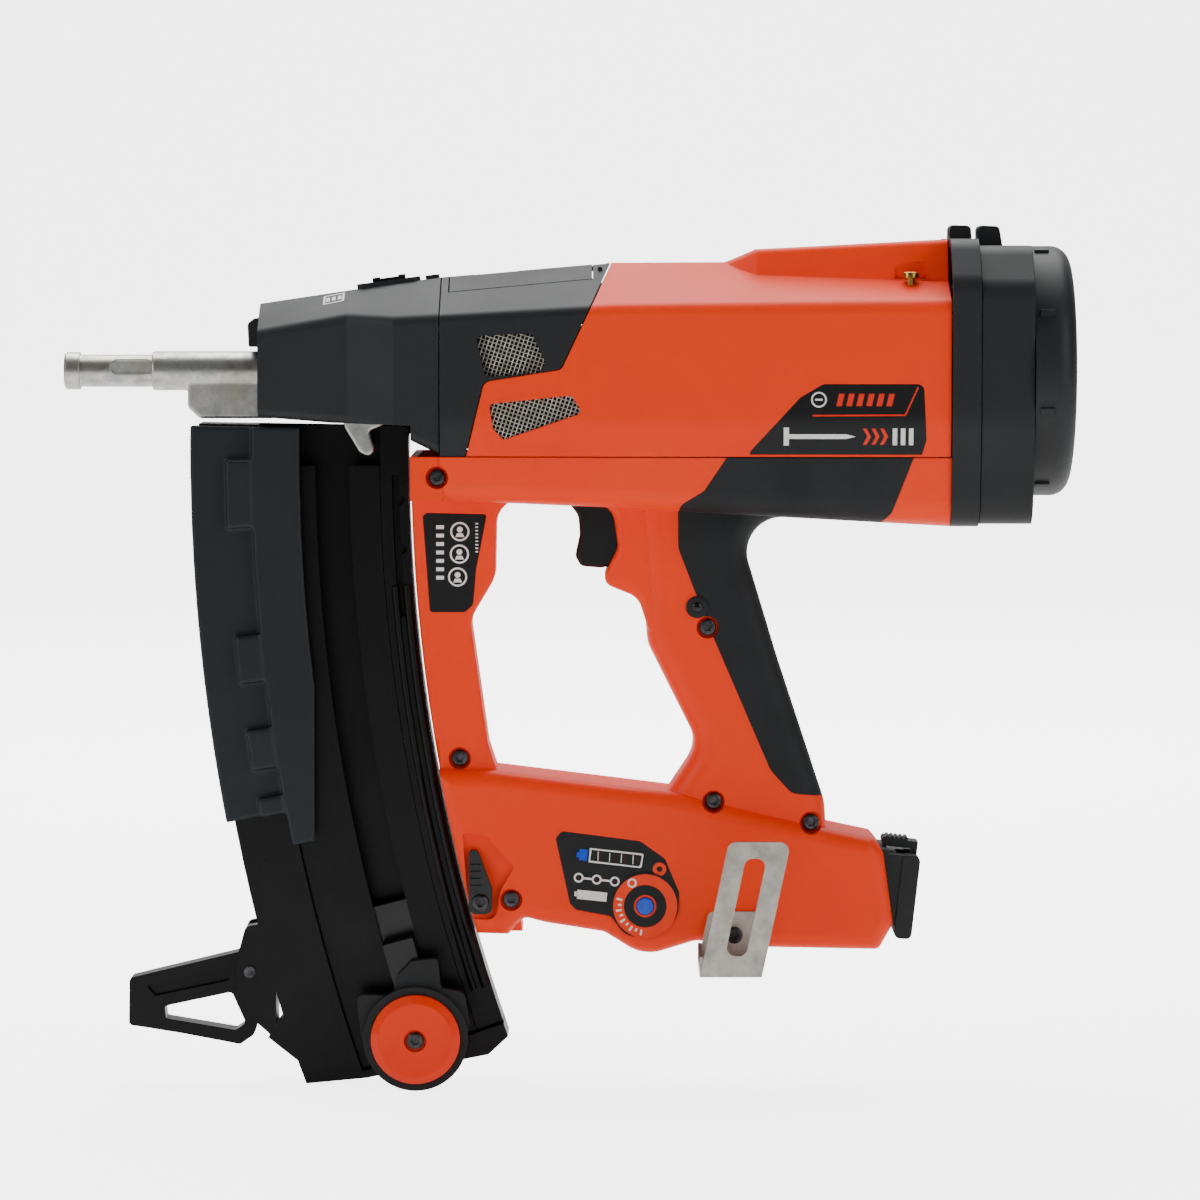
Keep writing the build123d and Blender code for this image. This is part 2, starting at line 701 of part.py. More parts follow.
def spark_plug():
    y, z = spark_place
    body = rod_x(head_front - 2, head_front + 24, spark_r - 0.02, y, z)
    tip = rod_x(head_front - 6, head_front, 1, y, z)
    return body + tip + rod_x(head_front + 13, head_front + 17, 6, y, z)


def fan():
    hub = rod_x(fan_front, fan_front + 13, 5) + rod_x(fan_front + 10, head_front + 16, 2.0)
    for k in range(6):
        blade = Pos(fan_front + 6, 0, fan_r / 2 + 1.5) * Rot(0, 0, 35) * Box(11, 1.6, fan_r - 3)
        hub += Rot(60 * k, 0, 0) * blade
    return hub & rod_x(fan_front - 5, head_front + 30, fan_r)


def fan_motor():
    x0 = head_front + 8
    part = rod_x(x0, x0 + 24, motor_r)
    return part - rod_x(x0 - 1, x0 + 10, 2.0 + fit)


def air_filter():
    x0 = housing_front + 8
    part = tube_x(x0, x0 + 6, 43, motor_r + 1.5)
    return part - rod_x(x0 - 1, x0 + 7, spark_r + 1, *spark_place)


def fuel_cell():
    x0 = 170.0
    can = rod_x(x0, x0 + fuel_length, fuel_r, 0, fuel_z)
    can = fillet(can.faces().sort_by(Axis.X)[-1].edges(), 2)
    return can + rod_x(x0 - 3, x0 + 1, 3, 0, fuel_z)


def control_board():
    board = block(199, 240, -1.6, 0.4, -225, -196)
    chips = block(204, 214, 0.4, 2.2, -216, -206) + block(220, 226, 0.4, 1.8, -214, -208)
    return board + chips


def ignition_module():
    return fillet(block(262, 284, -11, 11, -90, -66).edges().filter_by(Axis.Y), 2)


def trigger():
    part = bar([(214.6, -54.6, 1), (219.9, -61.5, 6), (220.6, -70, 10), (218.6, -79, 3), (221, -83.2, 3),
                (229.5, -84.0, 1), (238, -82.5, 1), (238, -54.6, 1)], -trigger_half, trigger_half)
    outer = part.edges().filter_by(lambda e: abs(abs(e.center().Y) - trigger_half) < 0.01)
    rims = outer.filter_by(lambda e: e.center().X < 226)
    return chamfer(rims, 1.0) - block(232, 239, -3, 3, -72, -64)


def trigger_switch():
    return block(251, 258.5, -6, 6, -78, -60) + block(249.6, 251, -2, 2, -78, -75)


def trigger_spring():
    return tube_x(232.2, 250.8, 2.6, 1.8, 0, -68)


def energy_panel():
    plate = bar(panel_points, -foot_half, -foot_half + plate_depth - 0.05)
    dial = rod_along_y(*dial_place, -foot_half - 0.7, -foot_half + plate_depth - 0.05, dial_r)
    return plate + (dial & bar(panel_points, -60, 0)) \
        - rod_along_y(dial_place[0], dial_place[1], -40, 0, button_r + loose)


def energy_button():
    x, z = dial_place
    cap = rod_along_y(x, z, -foot_half - 2.0, -foot_half + button_depth, button_r)
    return fillet(cap.faces().sort_by(Axis.Y)[0].edges(), 0.8)


def lock_lever():
    x, z = lever_pivot
    part = bar([(x - 5.0, z - 5, 3), (x - 4.8, z + 22.5, 1.4), (x - 1.2, z + 22.5, 1.4), (x + 5, z + 6, 5),
                (x + 5.0, z - 5, 3)], -foot_half - 2.2, -foot_half + 2)
    for k in range(4):
        part -= block(x - 4.2, x + 0.2, -foot_half - 3, -foot_half - 1.4, z + 7.4 + 3 * k, z + 8.6 + 3 * k)
    return part - rod_along_y(x, z, -foot_half - 3, -foot_half + 3, screw_r + fit)


def screw_along_y(x, z, y_seat, length):
    """Pan-head screw: head towards -Y of the seat, shank towards +Y."""
    head = rod_along_y(x, z, y_seat - screw_head_length, y_seat, screw_head_r)
    drive = rod_along_y(x, z, y_seat - 3, y_seat - 1.4, 1.6)
    return head - drive + rod_along_y(x, z, y_seat - 1, y_seat + length, screw_r)


def lever_screw():
    return screw_along_y(lever_pivot[0], lever_pivot[1], -foot_half - 2.3, 14)


def strut_label():
    return bar(label_points, -strut_half, -strut_half + plate_depth - 0.05)


def hook_centre(z):
    """Where the leaning strip's centre line is at a height."""
    return hook_foot[0] + math.tan(math.radians(hook_tilt)) * (z - hook_foot[1])


def hook_strip(z0, z1, half, r0, r1):
    """Leaning strip between two heights, with its own corner radii at each end."""
    x0, x1 = hook_centre(z0), hook_centre(z1)
    return outline([(x0 - half, z0, r0), (x0 + half, z0, r0), (x1 + half, z1, r1), (x1 - half, z1, r1)])


def belt_hook():
    """Flat strip bent into a U: a leg on the foot, a bridge underneath, and the slotted outer blade."""
    y_in = -foot_half
    y_out = y_in - hook_gap
    low = hook_foot[1] - 12
    bend = low + hook_thickness
    leg = prism(hook_strip(low, hook_foot[1] + 10, hook_half, 0, 3), y_in - hook_thickness, y_in)
    blade = prism(hook_strip(low, hook_top, hook_half, 0, 4), y_out - hook_thickness, y_out)
    blade -= prism(hook_strip(low + 9, hook_top - 7, 4.4, 3.5, 3.5), y_out - 5, y_out + 1)
    bridge = prism(hook_strip(low, bend, hook_half, 0, 0), y_out - hook_thickness, y_in)
    part = leg + blade + bridge
    for side in (-1, 1):
        x = hook_centre(low) + side * (hook_half - 0.8)
        for y, way in ((y_in - hook_thickness, -1), (y_out, 1)):
            web = Plane.YZ * make_face(Polyline((y, bend), (y + 7 * way, bend), (y, bend + 7), (y, bend)))
            part += Pos(x - 0.8, 0, 0) * extrude(web, amount=1.6)
    return part - rod_along_y(*hook_foot, y_in - 5, y_in + 1, screw_r + fit)


def hook_screw():
    return screw_along_y(hook_foot[0], hook_foot[1], -foot_half - hook_thickness, 11)


def battery_contacts():
    at = battery_frame()
    x = -battery_length - 3
    group = [at * Pos(x + 1.3, y, 0) * Box(2.0, 3, 14) for y in (-9, 0, 9)]
    return Compound(children=group)


def battery_case():
    at = battery_frame()
    case = battery_block(-battery_length, -2)
    hollow = Box(battery_length - 8, 2 * battery_half_y - 4, 2 * battery_half_z - 4)
    case -= at * Pos(-battery_length / 2 - 2, 0, 0) * hollow
    cap = Box(7.6, 2 * battery_half_y - 2, 36)
    cap = at * Pos(8.6, 0, -2.5) * fillet(cap.edges().filter_by(Axis.Y), 2.5)
    part = case + cap + at * Box(12, 2 * battery_half_y - 3, 30)
    return part - at * Pos(7.5, 0, 12.4) * Box(10, 14.4, 13.6)


def battery_cells():
    at = battery_frame()
    group = []
    for y in (-7.3, 7.3):
        for z in (-7.3, 7.3):
            for x in (-battery_length + 3.4, -battery_length + 3.8 + cell_length):
                group.append(at * Pos(x, y, z) * Rot(0, 90, 0) * Cylinder(
                    cell_r, cell_length - 6, align=(Align.CENTER, Align.CENTER, Align.MIN)))
    return Compound(children=group)


def battery_latch():
    """Ribbed thumb latch over the battery's rear end, with a finger loop."""
    at = battery_frame()
    x, z = latch_pivot
    lever = at * Pos(x, 0, z) * Box(8.8, 13, 2 * latch_r, align=(Align.MIN, Align.CENTER, Align.CENTER))
    lever += at * Pos(x, 0, z) * Rot(90, 0, 0) * Cylinder(latch_r, 13)
    for k in range(5):
        lever -= at * Pos(-3.0 + 2 * k, 0, 22) * Box(0.8, 14, 1.6)
    loop = at * Pos(8.8, 0, 14.5) * Box(5, 13, 12)
    loop -= at * Pos(6.9, 0, 14.0) * Box(4, 14, 7)
    return lever + loop


def magazine_body():
    a_low = 19.35
    outline_edges = [
        ThreePointArc(on_arc(rail_r0, mag_top_angle), on_arc(rail_r0, 9), on_arc(rail_r0, a_low)),
        Line(on_arc(rail_r0, a_low), (181.3, -293.4)),
        Line((181.3, -293.4), (128.5, -303.6)),
        Line((128.5, -303.6), (102.9, -306.0)),
        Line((102.9, -306.0), (99.2, -296)),
        Line((99.2, -296), (86.6, -286)),
        Line((86.6, -286), on_arc(mag_r1, 16.6)),
        ThreePointArc(on_arc(mag_r1, 16.6), on_arc(mag_r1, 8), on_arc(mag_r1, mag_top_angle)),
        Line(on_arc(mag_r1, mag_top_angle), on_arc(rail_r0, mag_top_angle)),
    ]
    part = prism(Plane.XZ * make_face(outline_edges), mag_front_y, mag_back_y)
    # cheeks that hold the support leg
    cheek_front = leg_pivot[0] - 5.5
    cheek = outline([(90, -236, 0), (77.0, -238, 3), (cheek_front, -252, 3), (cheek_front, -272, 3),
                     (90, -287, 0)])
    part += prism(cheek, mag_front_y, mag_back_y)
    part -= block(60, leg_pivot[0] + leg_slot, -leg_half - loose, leg_half + loose, -295, -232)
    part -= rod_along_y(*leg_pivot, -30, 30, leg_pin_r + fit)
    # fastener track and pusher slot, open at the top
    hollow_y = (mag_front_y - 1, mag_back_y - plate_thickness)
    part -= band(rail_r0 - 1, track_r1, mag_top_angle - 1, 18.9, *hollow_y)
    # long stiffening pocket at the rear of the left wall
    for k in range(5):
        part -= band(track_r1 + 4, mag_r1 - 4, 0.2 + 3 * k, 2.9 + 3 * k, -10, mag_back_y + 1)
    return part


def magazine_rail():
    part = band(rail_r0, track_r0 - 0.2, mag_top_angle, 18.85, -track_depth - plate_thickness,
                mag_back_y - plate_thickness)
    part -= band(rail_r0 + 4, rail_r0 + 7, 0.6, 5.2, -12, -4)
    for k in range(3):
        at = on_arc(rail_r0 + 4, 1.4 + 1.6 * k)
        part -= rod_along_y(at[0], at[1], -12, -4, 2.4)
    return part


def track_plates():
    """The two plates that keep the fasteners in, with the pusher slot between them."""
    plates = []
    for r0, r1 in ((track_r0, slot_r0), (slot_r0 + slot_width, track_r1 - 0.2)):
        plates.append(band(r0, r1, 0.3, 18.85, -track_depth - plate_thickness, -track_depth))
    return Compound(children=plates)


def magazine_shield():
    """Folded guard: a side panel, and a raised strip on four gussets."""
    a0 = -0.9
    panel = band(shield_fold - 2, shield_r1, a0, 10.7, mag_front_y - shield_thickness, mag_front_y)
    strip = band(shield_r0, shield_fold, a0, 11.7, shield_y, shield_y + shield_thickness)
    strip -= block(107.5, 120, -30, 0, -230, -125)
    fold = band(shield_fold - 2.6, shield_fold, a0, 11.2, shield_y, mag_front_y)
    part = panel + strip + fold
    for start, end in gussets:
        part += band(shield_fold - 1, shield_fold + 11, start, end, shield_y + 0.6, mag_front_y)
    return part


def spring_strip():
    """Flat spring that lies along the rail, with its end hooked over at the top."""
    r0 = track_r0 + 0.6
    strip = band(r0, r0 + strip_thickness, 0.75, drum_angle - 0.75, -5, 5)
    return strip + band(r0, r0 + 3.0, 0.72, 0.77, -5, 5) + band(r0 + 2.7, r0 + 3.0, 0.72, 1.0, -5, 5)


def pusher_block():
    """Follower in the track, with a pocket for the coiled spring."""
    part = band(track_r0 + 1.4, track_r1 - 0.8, 14.2, 17.9, -track_depth + loose, track_depth - loose)
    cx, cz = on_arc(drum_path_r, drum_angle)
    part -= rod_along_y(cx, cz, -5.6, 5.6, drum_r + 1.2)
    part -= band(track_r0, drum_path_r, drum_angle - 1.8, drum_angle, -5.6, 5.6)
    part += rod_along_y(cx, cz, -5.7, 5.7, 2.0)
    neck = band(slot_r0 + 0.6, slot_r0 + slot_width - 0.6, 15.3, 17.9, -22.6, -track_depth + 1)
    return part + neck


def spring_drum():
    cx, cz = on_arc(drum_path_r, drum_angle)
    return rod_along_y(cx, cz, -5.2, 5.2, drum_r) - rod_along_y(cx, cz, -6, 6, 2.0 + fit)


def pusher_handle():
    """Bracket that carries the knob outside the shield."""
    cx, cz = on_arc(knob_path_r, knob_angle)
    back = shield_y - 0.6
    face = outline([
        (cx - 25.5, cz + 18.8, 3), (cx - 10, cz + 18.0, 2), (cx - 7.6, cz + 26.6, 2), (cx - 1.5, cz + 33, 2),
        (cx + 9.5, cz + 34.2, 2), (cx + 10.5, cz + 21.5, 2), (cx + 20.5, cz + 19.5, 4), (cx + 23, cz + 5, 6),
        (cx + 18, cz - 14, 10), (cx, cz - 23.5, 12), (cx - 19, cz - 13, 10), (cx - 23.5, cz + 2, 8)])
    plate = prism(face, back - 5.5, back)
    ring = rod_along_y(cx, cz, back - 9, back - 5, knob_ring_r)
    return plate + ring - rod_along_y(cx, cz, back - 12, back - 7.6, knob_r + fit) \
        - rod_along_y(cx, cz, back - 20, back + 1, screw_r + fit)


def knob_cap():
    cx, cz = on_arc(knob_path_r, knob_angle)
    back = shield_y - 0.6
    part = rod_along_y(cx, cz, back - 14.5, back - 7.6, knob_r)
    part = chamfer(part.faces().sort_by(Axis.Y)[0].edges(), 3.2)
    return part - rod_along_y(cx, cz, back - 16, back - 12.6, recess_r) \
        - rod_along_y(cx, cz, back - 20, back, screw_r + fit)


def knob_screw():
    cx, cz = on_arc(knob_path_r, knob_angle)
    return screw_along_y(cx, cz, shield_y - 0.6 - 12.6, 12)


def support_leg():
    """Braced leg that props the nose level with the floor."""
    px, pz = leg_pivot
    frame = outline([
        (px + 6.5, pz + 6.5, 5), (px - 2.5, pz + 8.2, 4), (26.4, -261.4, 2), (26.0, -281.8, 2),
        (33, -282.8, 3), (50, -285.6, 3), (74.0, -290.2, 2), (80, -286, 3), (px + 7, pz - 9, 5)])
    gap_big = outline([(41.5, -273.6, 1), (70.5, -267.4, 2), (76.5, -281, 2), (72, -284, 2),
                       (42, -278.9, 1)])
    gap_top = outline([(33.5, -264.6, 1), (69.5, -255.7, 1), (69.5, -262.4, 1), (37.4, -269.2, 1)])
    part = prism(frame, -leg_half, leg_half) - prism(gap_big, -20, 20)
    pocket = prism(gap_top, -leg_half - 1, -leg_half + 3) + prism(gap_top, leg_half - 3, leg_half + 1)
    part -= pocket
    part -= rod_along_y(px, pz, -20, 20, leg_pin_r + fit)
    return part - rod_x(20, 30, 2.6, 0, -269.4)


def leg_pin():
    return rod_along_y(*leg_pivot, mag_front_y - 0.8, mag_back_y + 0.8, leg_pin_r)


frame_form = lower_outer()
grip_skin = (frame_form & grip_zone()) - lower_outer(grip_depth) - block(200, 400, -60, 60, -205, -181.5)
whole_frame = frame_shell()


def pair(make):
    """The same piece on both sides of the tool, as separate solids of one node."""
    return Compound(children=[make(-1), make(1)])


def all_frame_screws():
    group = [screw_along_y(x, z, -half + 3.2, 2 * half - 9) for x, z, half in frame_screw_places]
    return Compound(children=group + [lever_screw(), hook_screw()])


makers = {
    "frame_left": lambda: frame_half(-1),
    "frame_right": lambda: frame_half(1),
    "grip_overmould": grip_overmould,
    "mid_shroud": mid_shroud,
    "fuel_lid": fuel_lid,
    "lid_latch": lid_latch,
    "hood": hood,
    "hood_screws": lambda: pair(hood_screw),
    "side_badges": lambda: pair(badge),
    "upper_meshes": lambda: pair(upper_mesh),
    "lower_meshes": lambda: pair(lower_mesh),
    "nose_shroud": nose_shroud,
    "power_slider": power_slider,
    "rear_collar": rear_collar,
    "rear_housing": rear_housing,
    "rear_cap": rear_cap,
    "nose_guide": nose_guide,
    "nose_bolts": nose_bolts,
    "probe_tip": probe_tip,
    "probe_link": probe_link,
    "probe_springs": probe_springs,
    "chamber_sleeve": chamber_sleeve,
    "cylinder": cylinder,
    "bumper": bumper,
    "piston": piston,
    "piston_rings": piston_rings,
    "driver_blade": driver_blade,
    "cylinder_head": cylinder_head,
    "spark_plug": spark_plug,
    "fan": fan,
    "fan_motor": fan_motor,
    "air_filter": air_filter,
    "fuel_cell": fuel_cell,
    "control_board": control_board,
    "ignition_module": ignition_module,
    "trigger": trigger,
    "trigger_switch": trigger_switch,
    "trigger_spring": trigger_spring,
    "energy_panel": energy_panel,
    "energy_button": energy_button,
    "lock_lever": lock_lever,
    "frame_screws": all_frame_screws,
    "strut_label": strut_label,
    "belt_hook": belt_hook,
    "battery_contacts": battery_contacts,
    "battery_case": battery_case,
    "battery_cells": battery_cells,
    "battery_latch": battery_latch,
    "magazine_body": magazine_body,
    "magazine_rail": magazine_rail,
    "track_plates": track_plates,
    "magazine_shield": magazine_shield,
    "spring_strip": spring_strip,
    "pusher_block": pusher_block,
    "spring_drum": spring_drum,
    "pusher_handle": pusher_handle,
    "knob_cap": knob_cap,
    "knob_screw": knob_screw,
    "support_leg": support_leg,
    "leg_pin": leg_pin,
}

os.makedirs("parts", exist_ok=True)
for name, make in makers.items():
    export_step(make(), f"parts/{name}.step")
print(len(makers), "nodes")
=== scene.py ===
import json
import math
import bpy
from mathutils import Matrix, Vector


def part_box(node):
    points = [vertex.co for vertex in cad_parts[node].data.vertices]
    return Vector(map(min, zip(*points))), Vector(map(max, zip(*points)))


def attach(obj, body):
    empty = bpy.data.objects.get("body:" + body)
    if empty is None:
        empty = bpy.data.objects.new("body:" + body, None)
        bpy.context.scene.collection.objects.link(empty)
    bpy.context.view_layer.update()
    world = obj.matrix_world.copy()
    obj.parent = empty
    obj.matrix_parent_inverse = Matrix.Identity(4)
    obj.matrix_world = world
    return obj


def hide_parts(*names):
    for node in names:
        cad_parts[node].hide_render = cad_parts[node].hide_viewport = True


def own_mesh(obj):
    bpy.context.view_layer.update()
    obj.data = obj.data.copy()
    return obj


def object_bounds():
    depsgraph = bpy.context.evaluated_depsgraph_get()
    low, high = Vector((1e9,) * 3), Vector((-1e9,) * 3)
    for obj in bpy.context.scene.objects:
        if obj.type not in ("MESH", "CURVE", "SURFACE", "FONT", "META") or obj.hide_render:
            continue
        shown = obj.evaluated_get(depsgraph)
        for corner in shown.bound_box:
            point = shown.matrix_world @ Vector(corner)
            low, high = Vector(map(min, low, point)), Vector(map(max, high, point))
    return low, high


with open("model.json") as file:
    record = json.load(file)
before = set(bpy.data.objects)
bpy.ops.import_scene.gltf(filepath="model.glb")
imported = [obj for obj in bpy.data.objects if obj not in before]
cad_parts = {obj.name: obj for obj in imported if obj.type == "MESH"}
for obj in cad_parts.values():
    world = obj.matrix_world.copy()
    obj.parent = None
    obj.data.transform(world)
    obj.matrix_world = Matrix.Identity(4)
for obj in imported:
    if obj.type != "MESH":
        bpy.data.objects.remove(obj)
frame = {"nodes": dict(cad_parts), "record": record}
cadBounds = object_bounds()
nodes = frame["nodes"]
mm = 0.001
print("frame loaded:", len(nodes), "nodes")


# small tools for working in edit mode

def only(piece):
    if bpy.context.mode != "OBJECT":
        bpy.ops.object.mode_set(mode="OBJECT")
    bpy.ops.object.select_all(action="DESELECT")
    piece.hide_set(False)
    piece.select_set(True)
    bpy.context.view_layer.objects.active = piece
    return piece


# kind is VERT, EDGE or FACE; the piece is left in edit mode with all that passes the test selected
def pick(piece, kind, test):
    only(piece)
    bpy.ops.object.mode_set(mode="EDIT")
    bpy.ops.mesh.select_mode(type=kind)
    bpy.ops.mesh.select_all(action="DESELECT")
    bpy.ops.object.mode_set(mode="OBJECT")
    mesh = piece.data
    if kind == "VERT":
        for v in mesh.vertices:
            v.select = test(v.co)
    elif kind == "EDGE":
        for e in mesh.edges:
            e.select = test(mesh.vertices[e.vertices[0]].co, mesh.vertices[e.vertices[1]].co)
    else:
        for f in mesh.polygons:
            f.select = test(f.center, f.normal)
    bpy.ops.object.mode_set(mode="EDIT")
    return piece


def settle(piece, name):  # ends editing and puts the piece's place into its mesh
    only(piece)
    bpy.ops.object.transform_apply(location=True, rotation=True, scale=True)
    piece.name = name
    piece.data.name = name
    return piece


def merged(piece):
    pick(piece, "VERT", lambda co: True)
    bpy.ops.mesh.remove_doubles(threshold=0.00001)
    bpy.ops.mesh.normals_make_consistent(inside=False)
    return only(piece)


def withModifier(piece, kind, **given):
    only(piece)
    modifier = piece.modifiers.new(kind.lower(), kind)
    for name, value in given.items():
        setattr(modifier, name, value)
    bpy.ops.object.modifier_apply(modifier=modifier.name)
    return piece


def copyOf(piece, name, matrix=None):
    twin = piece.copy()
    twin.data = piece.data.copy()
    bpy.context.scene.collection.objects.link(twin)
    if matrix is not None:
        twin.data.transform(matrix)
        if matrix.determinant() < 0:
            twin.data.flip_normals()
    twin.name = name
    twin.data.name = name
    return twin


def joined(pieces, name):
    only(pieces[0])
    for piece in pieces[1:]:
        piece.select_set(True)
    bpy.ops.object.join()
    pieces[0].name = name
    pieces[0].data.name = name
    return pieces[0]


def removed(piece):
    bpy.data.objects.remove(piece)


def smooth(piece, degrees=35):
    only(piece)
    bpy.ops.object.shade_smooth_by_angle(angle=math.radians(degrees))
    return piece


def finished(piece, material, body, replaced=()):
    piece.data.materials.clear()
    piece.data.materials.append(material)
    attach(piece, body)
    if replaced:
        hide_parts(*replaced)
    return piece


# materials: one maker for moulded plastics, one for metals, and a look for each finish

def linear(hexColour):
    parts = [int(hexColour[i:i + 2], 16) / 255 for i in (1, 3, 5)]
    return [p / 12.92 if p <= 0.04045 else ((p + 0.055) / 1.055) ** 2.4 for p in parts] + [1.0]


# capitals and numbers name sockets, small letters name the node's own settings
def addNode(tree, kind, given=None, links=None):
    node = tree.nodes.new("ShaderNode" + kind)
    for name, value in (given or {}).items():
        if isinstance(name, int) or name[0].isupper():
            node.inputs[name].default_value = value
        else:
            setattr(node, name, value)
    for name, source in (links or {}).items():
        tree.links.new(source, node.inputs[name])
    return node


def newMaterial(name):
    material = bpy.data.materials.new(name)
    material.use_nodes = True
    material.node_tree.nodes.clear()
    tree = material.node_tree
    place = addNode(tree, "TexCoord").outputs["Object"]
    return material, tree, place


def mouldedPlastic(look):  # a slightly cloudy skin, and a fine grain that breaks up the highlights
    material, tree, place = newMaterial(look["name"])
    cloudScale, grainScale = 1 / (look["cloudMm"] * mm), 1 / (look["grainMm"] * mm)
    cloud = addNode(tree, "TexNoise", {"Scale": cloudScale, "Detail": 3.0}, {"Vector": place})
    grain = addNode(tree, "TexNoise", {"Scale": grainScale, "Detail": 2.0}, {"Vector": place})
    share = addNode(tree, "MapRange", {"From Min": 0.3, "From Max": 0.75, "To Max": look["uneven"]},
                    {"Value": cloud.outputs["Fac"]})
    colour = addNode(tree, "Mix", {"data_type": "RGBA", 6: linear(look["colour"]), 7: linear(look["shade"])},
                     {0: share.outputs["Result"]})
    smoothest, roughest = look["rough"] - 0.03, look["rough"] + 0.05
    limits = {"From Min": 0.25, "From Max": 0.8, "To Min": smoothest, "To Max": roughest}
    rough = addNode(tree, "MapRange", limits, {"Value": cloud.outputs["Fac"]})
    soft = addNode(tree, "Bevel", {"samples": 4, "Radius": look["edgeMm"] * mm})
    bump = addNode(tree, "Bump", {"Strength": look["grainDepth"], "Distance": 0.0001},
                   {"Height": grain.outputs["Fac"], "Normal": soft.outputs["Normal"]})
    shader = addNode(tree, "BsdfPrincipled", {"IOR": 1.5, "Specular IOR Level": look["shine"]},
                     {"Base Color": colour.outputs[2], "Roughness": rough.outputs["Result"],
                      "Normal": bump.outputs["Normal"]})
    addNode(tree, "OutputMaterial", links={"Surface": shader.outputs["BSDF"]})
    return material


def metalFinish(look):  # patches of plating or handling over fine tool lines
    material, tree, place = newMaterial(look["name"])
    patchScale, lineScale = 1 / (look["patchMm"] * mm), 1 / (look["lineMm"] * mm)
    stretch, turn = look.get("stretch", (1, 1, 1)), look.get("turn", (0, 0, 0))
    turned = addNode(tree, "Mapping", {"Scale": stretch, "Rotation": turn}, {"Vector": place})
    patches = addNode(tree, "TexNoise", {"Scale": patchScale, "Detail": 5.0, "Roughness": 0.65},
                      {"Vector": place})
    lines = addNode(tree, "TexNoise", {"Scale": lineScale, "Detail": 2.0},
                    {"Vector": turned.outputs["Vector"]})
    stain = addNode(tree, "TexNoise", {"Scale": patchScale / 2.3, "Detail": 3.0}, {"Vector": place})
    share = addNode(tree, "MapRange", {"From Min": 0.38, "From Max": 0.66},
                    {"Value": patches.outputs["Fac"]})
    stained = addNode(tree, "MapRange", {"From Min": 0.5, "From Max": 0.8, "To Max": look["tintAmount"]},
                      {"Value": stain.outputs["Fac"]})
    plain = addNode(tree, "Mix", {"data_type": "RGBA", 6: linear(look["colour"]), 7: linear(look["shade"])},
                    {0: share.outputs["Result"]})
    colour = addNode(tree, "Mix", {"data_type": "RGBA", 7: linear(look["tint"])},
                     {0: stained.outputs["Result"], 6: plain.outputs[2]})
    smoothest, roughest = look["rough"] - 0.08, look["rough"] + 0.12
    limits = {"From Min": 0.3, "From Max": 0.75, "To Min": smoothest, "To Max": roughest}
    rough = addNode(tree, "MapRange", limits, {"Value": patches.outputs["Fac"]})
    soft = addNode(tree, "Bevel", {"samples": 4, "Radius": look["edgeMm"] * mm})
    bump = addNode(tree, "Bump", {"Strength": look["lineDepth"], "Distance": 0.0001},
                   {"Height": lines.outputs["Fac"], "Normal": soft.outputs["Normal"]})
    shader = addNode(tree, "BsdfPrincipled", {"Metallic": 1.0, "Anisotropic": look.get("anisotropic", 0.0)},
                     {"Base Color": colour.outputs[2], "Roughness": rough.outputs["Result"],
                      "Normal": bump.outputs["Normal"]})
    addNode(tree, "OutputMaterial", links={"Surface": shader.outputs["BSDF"]})
    return material


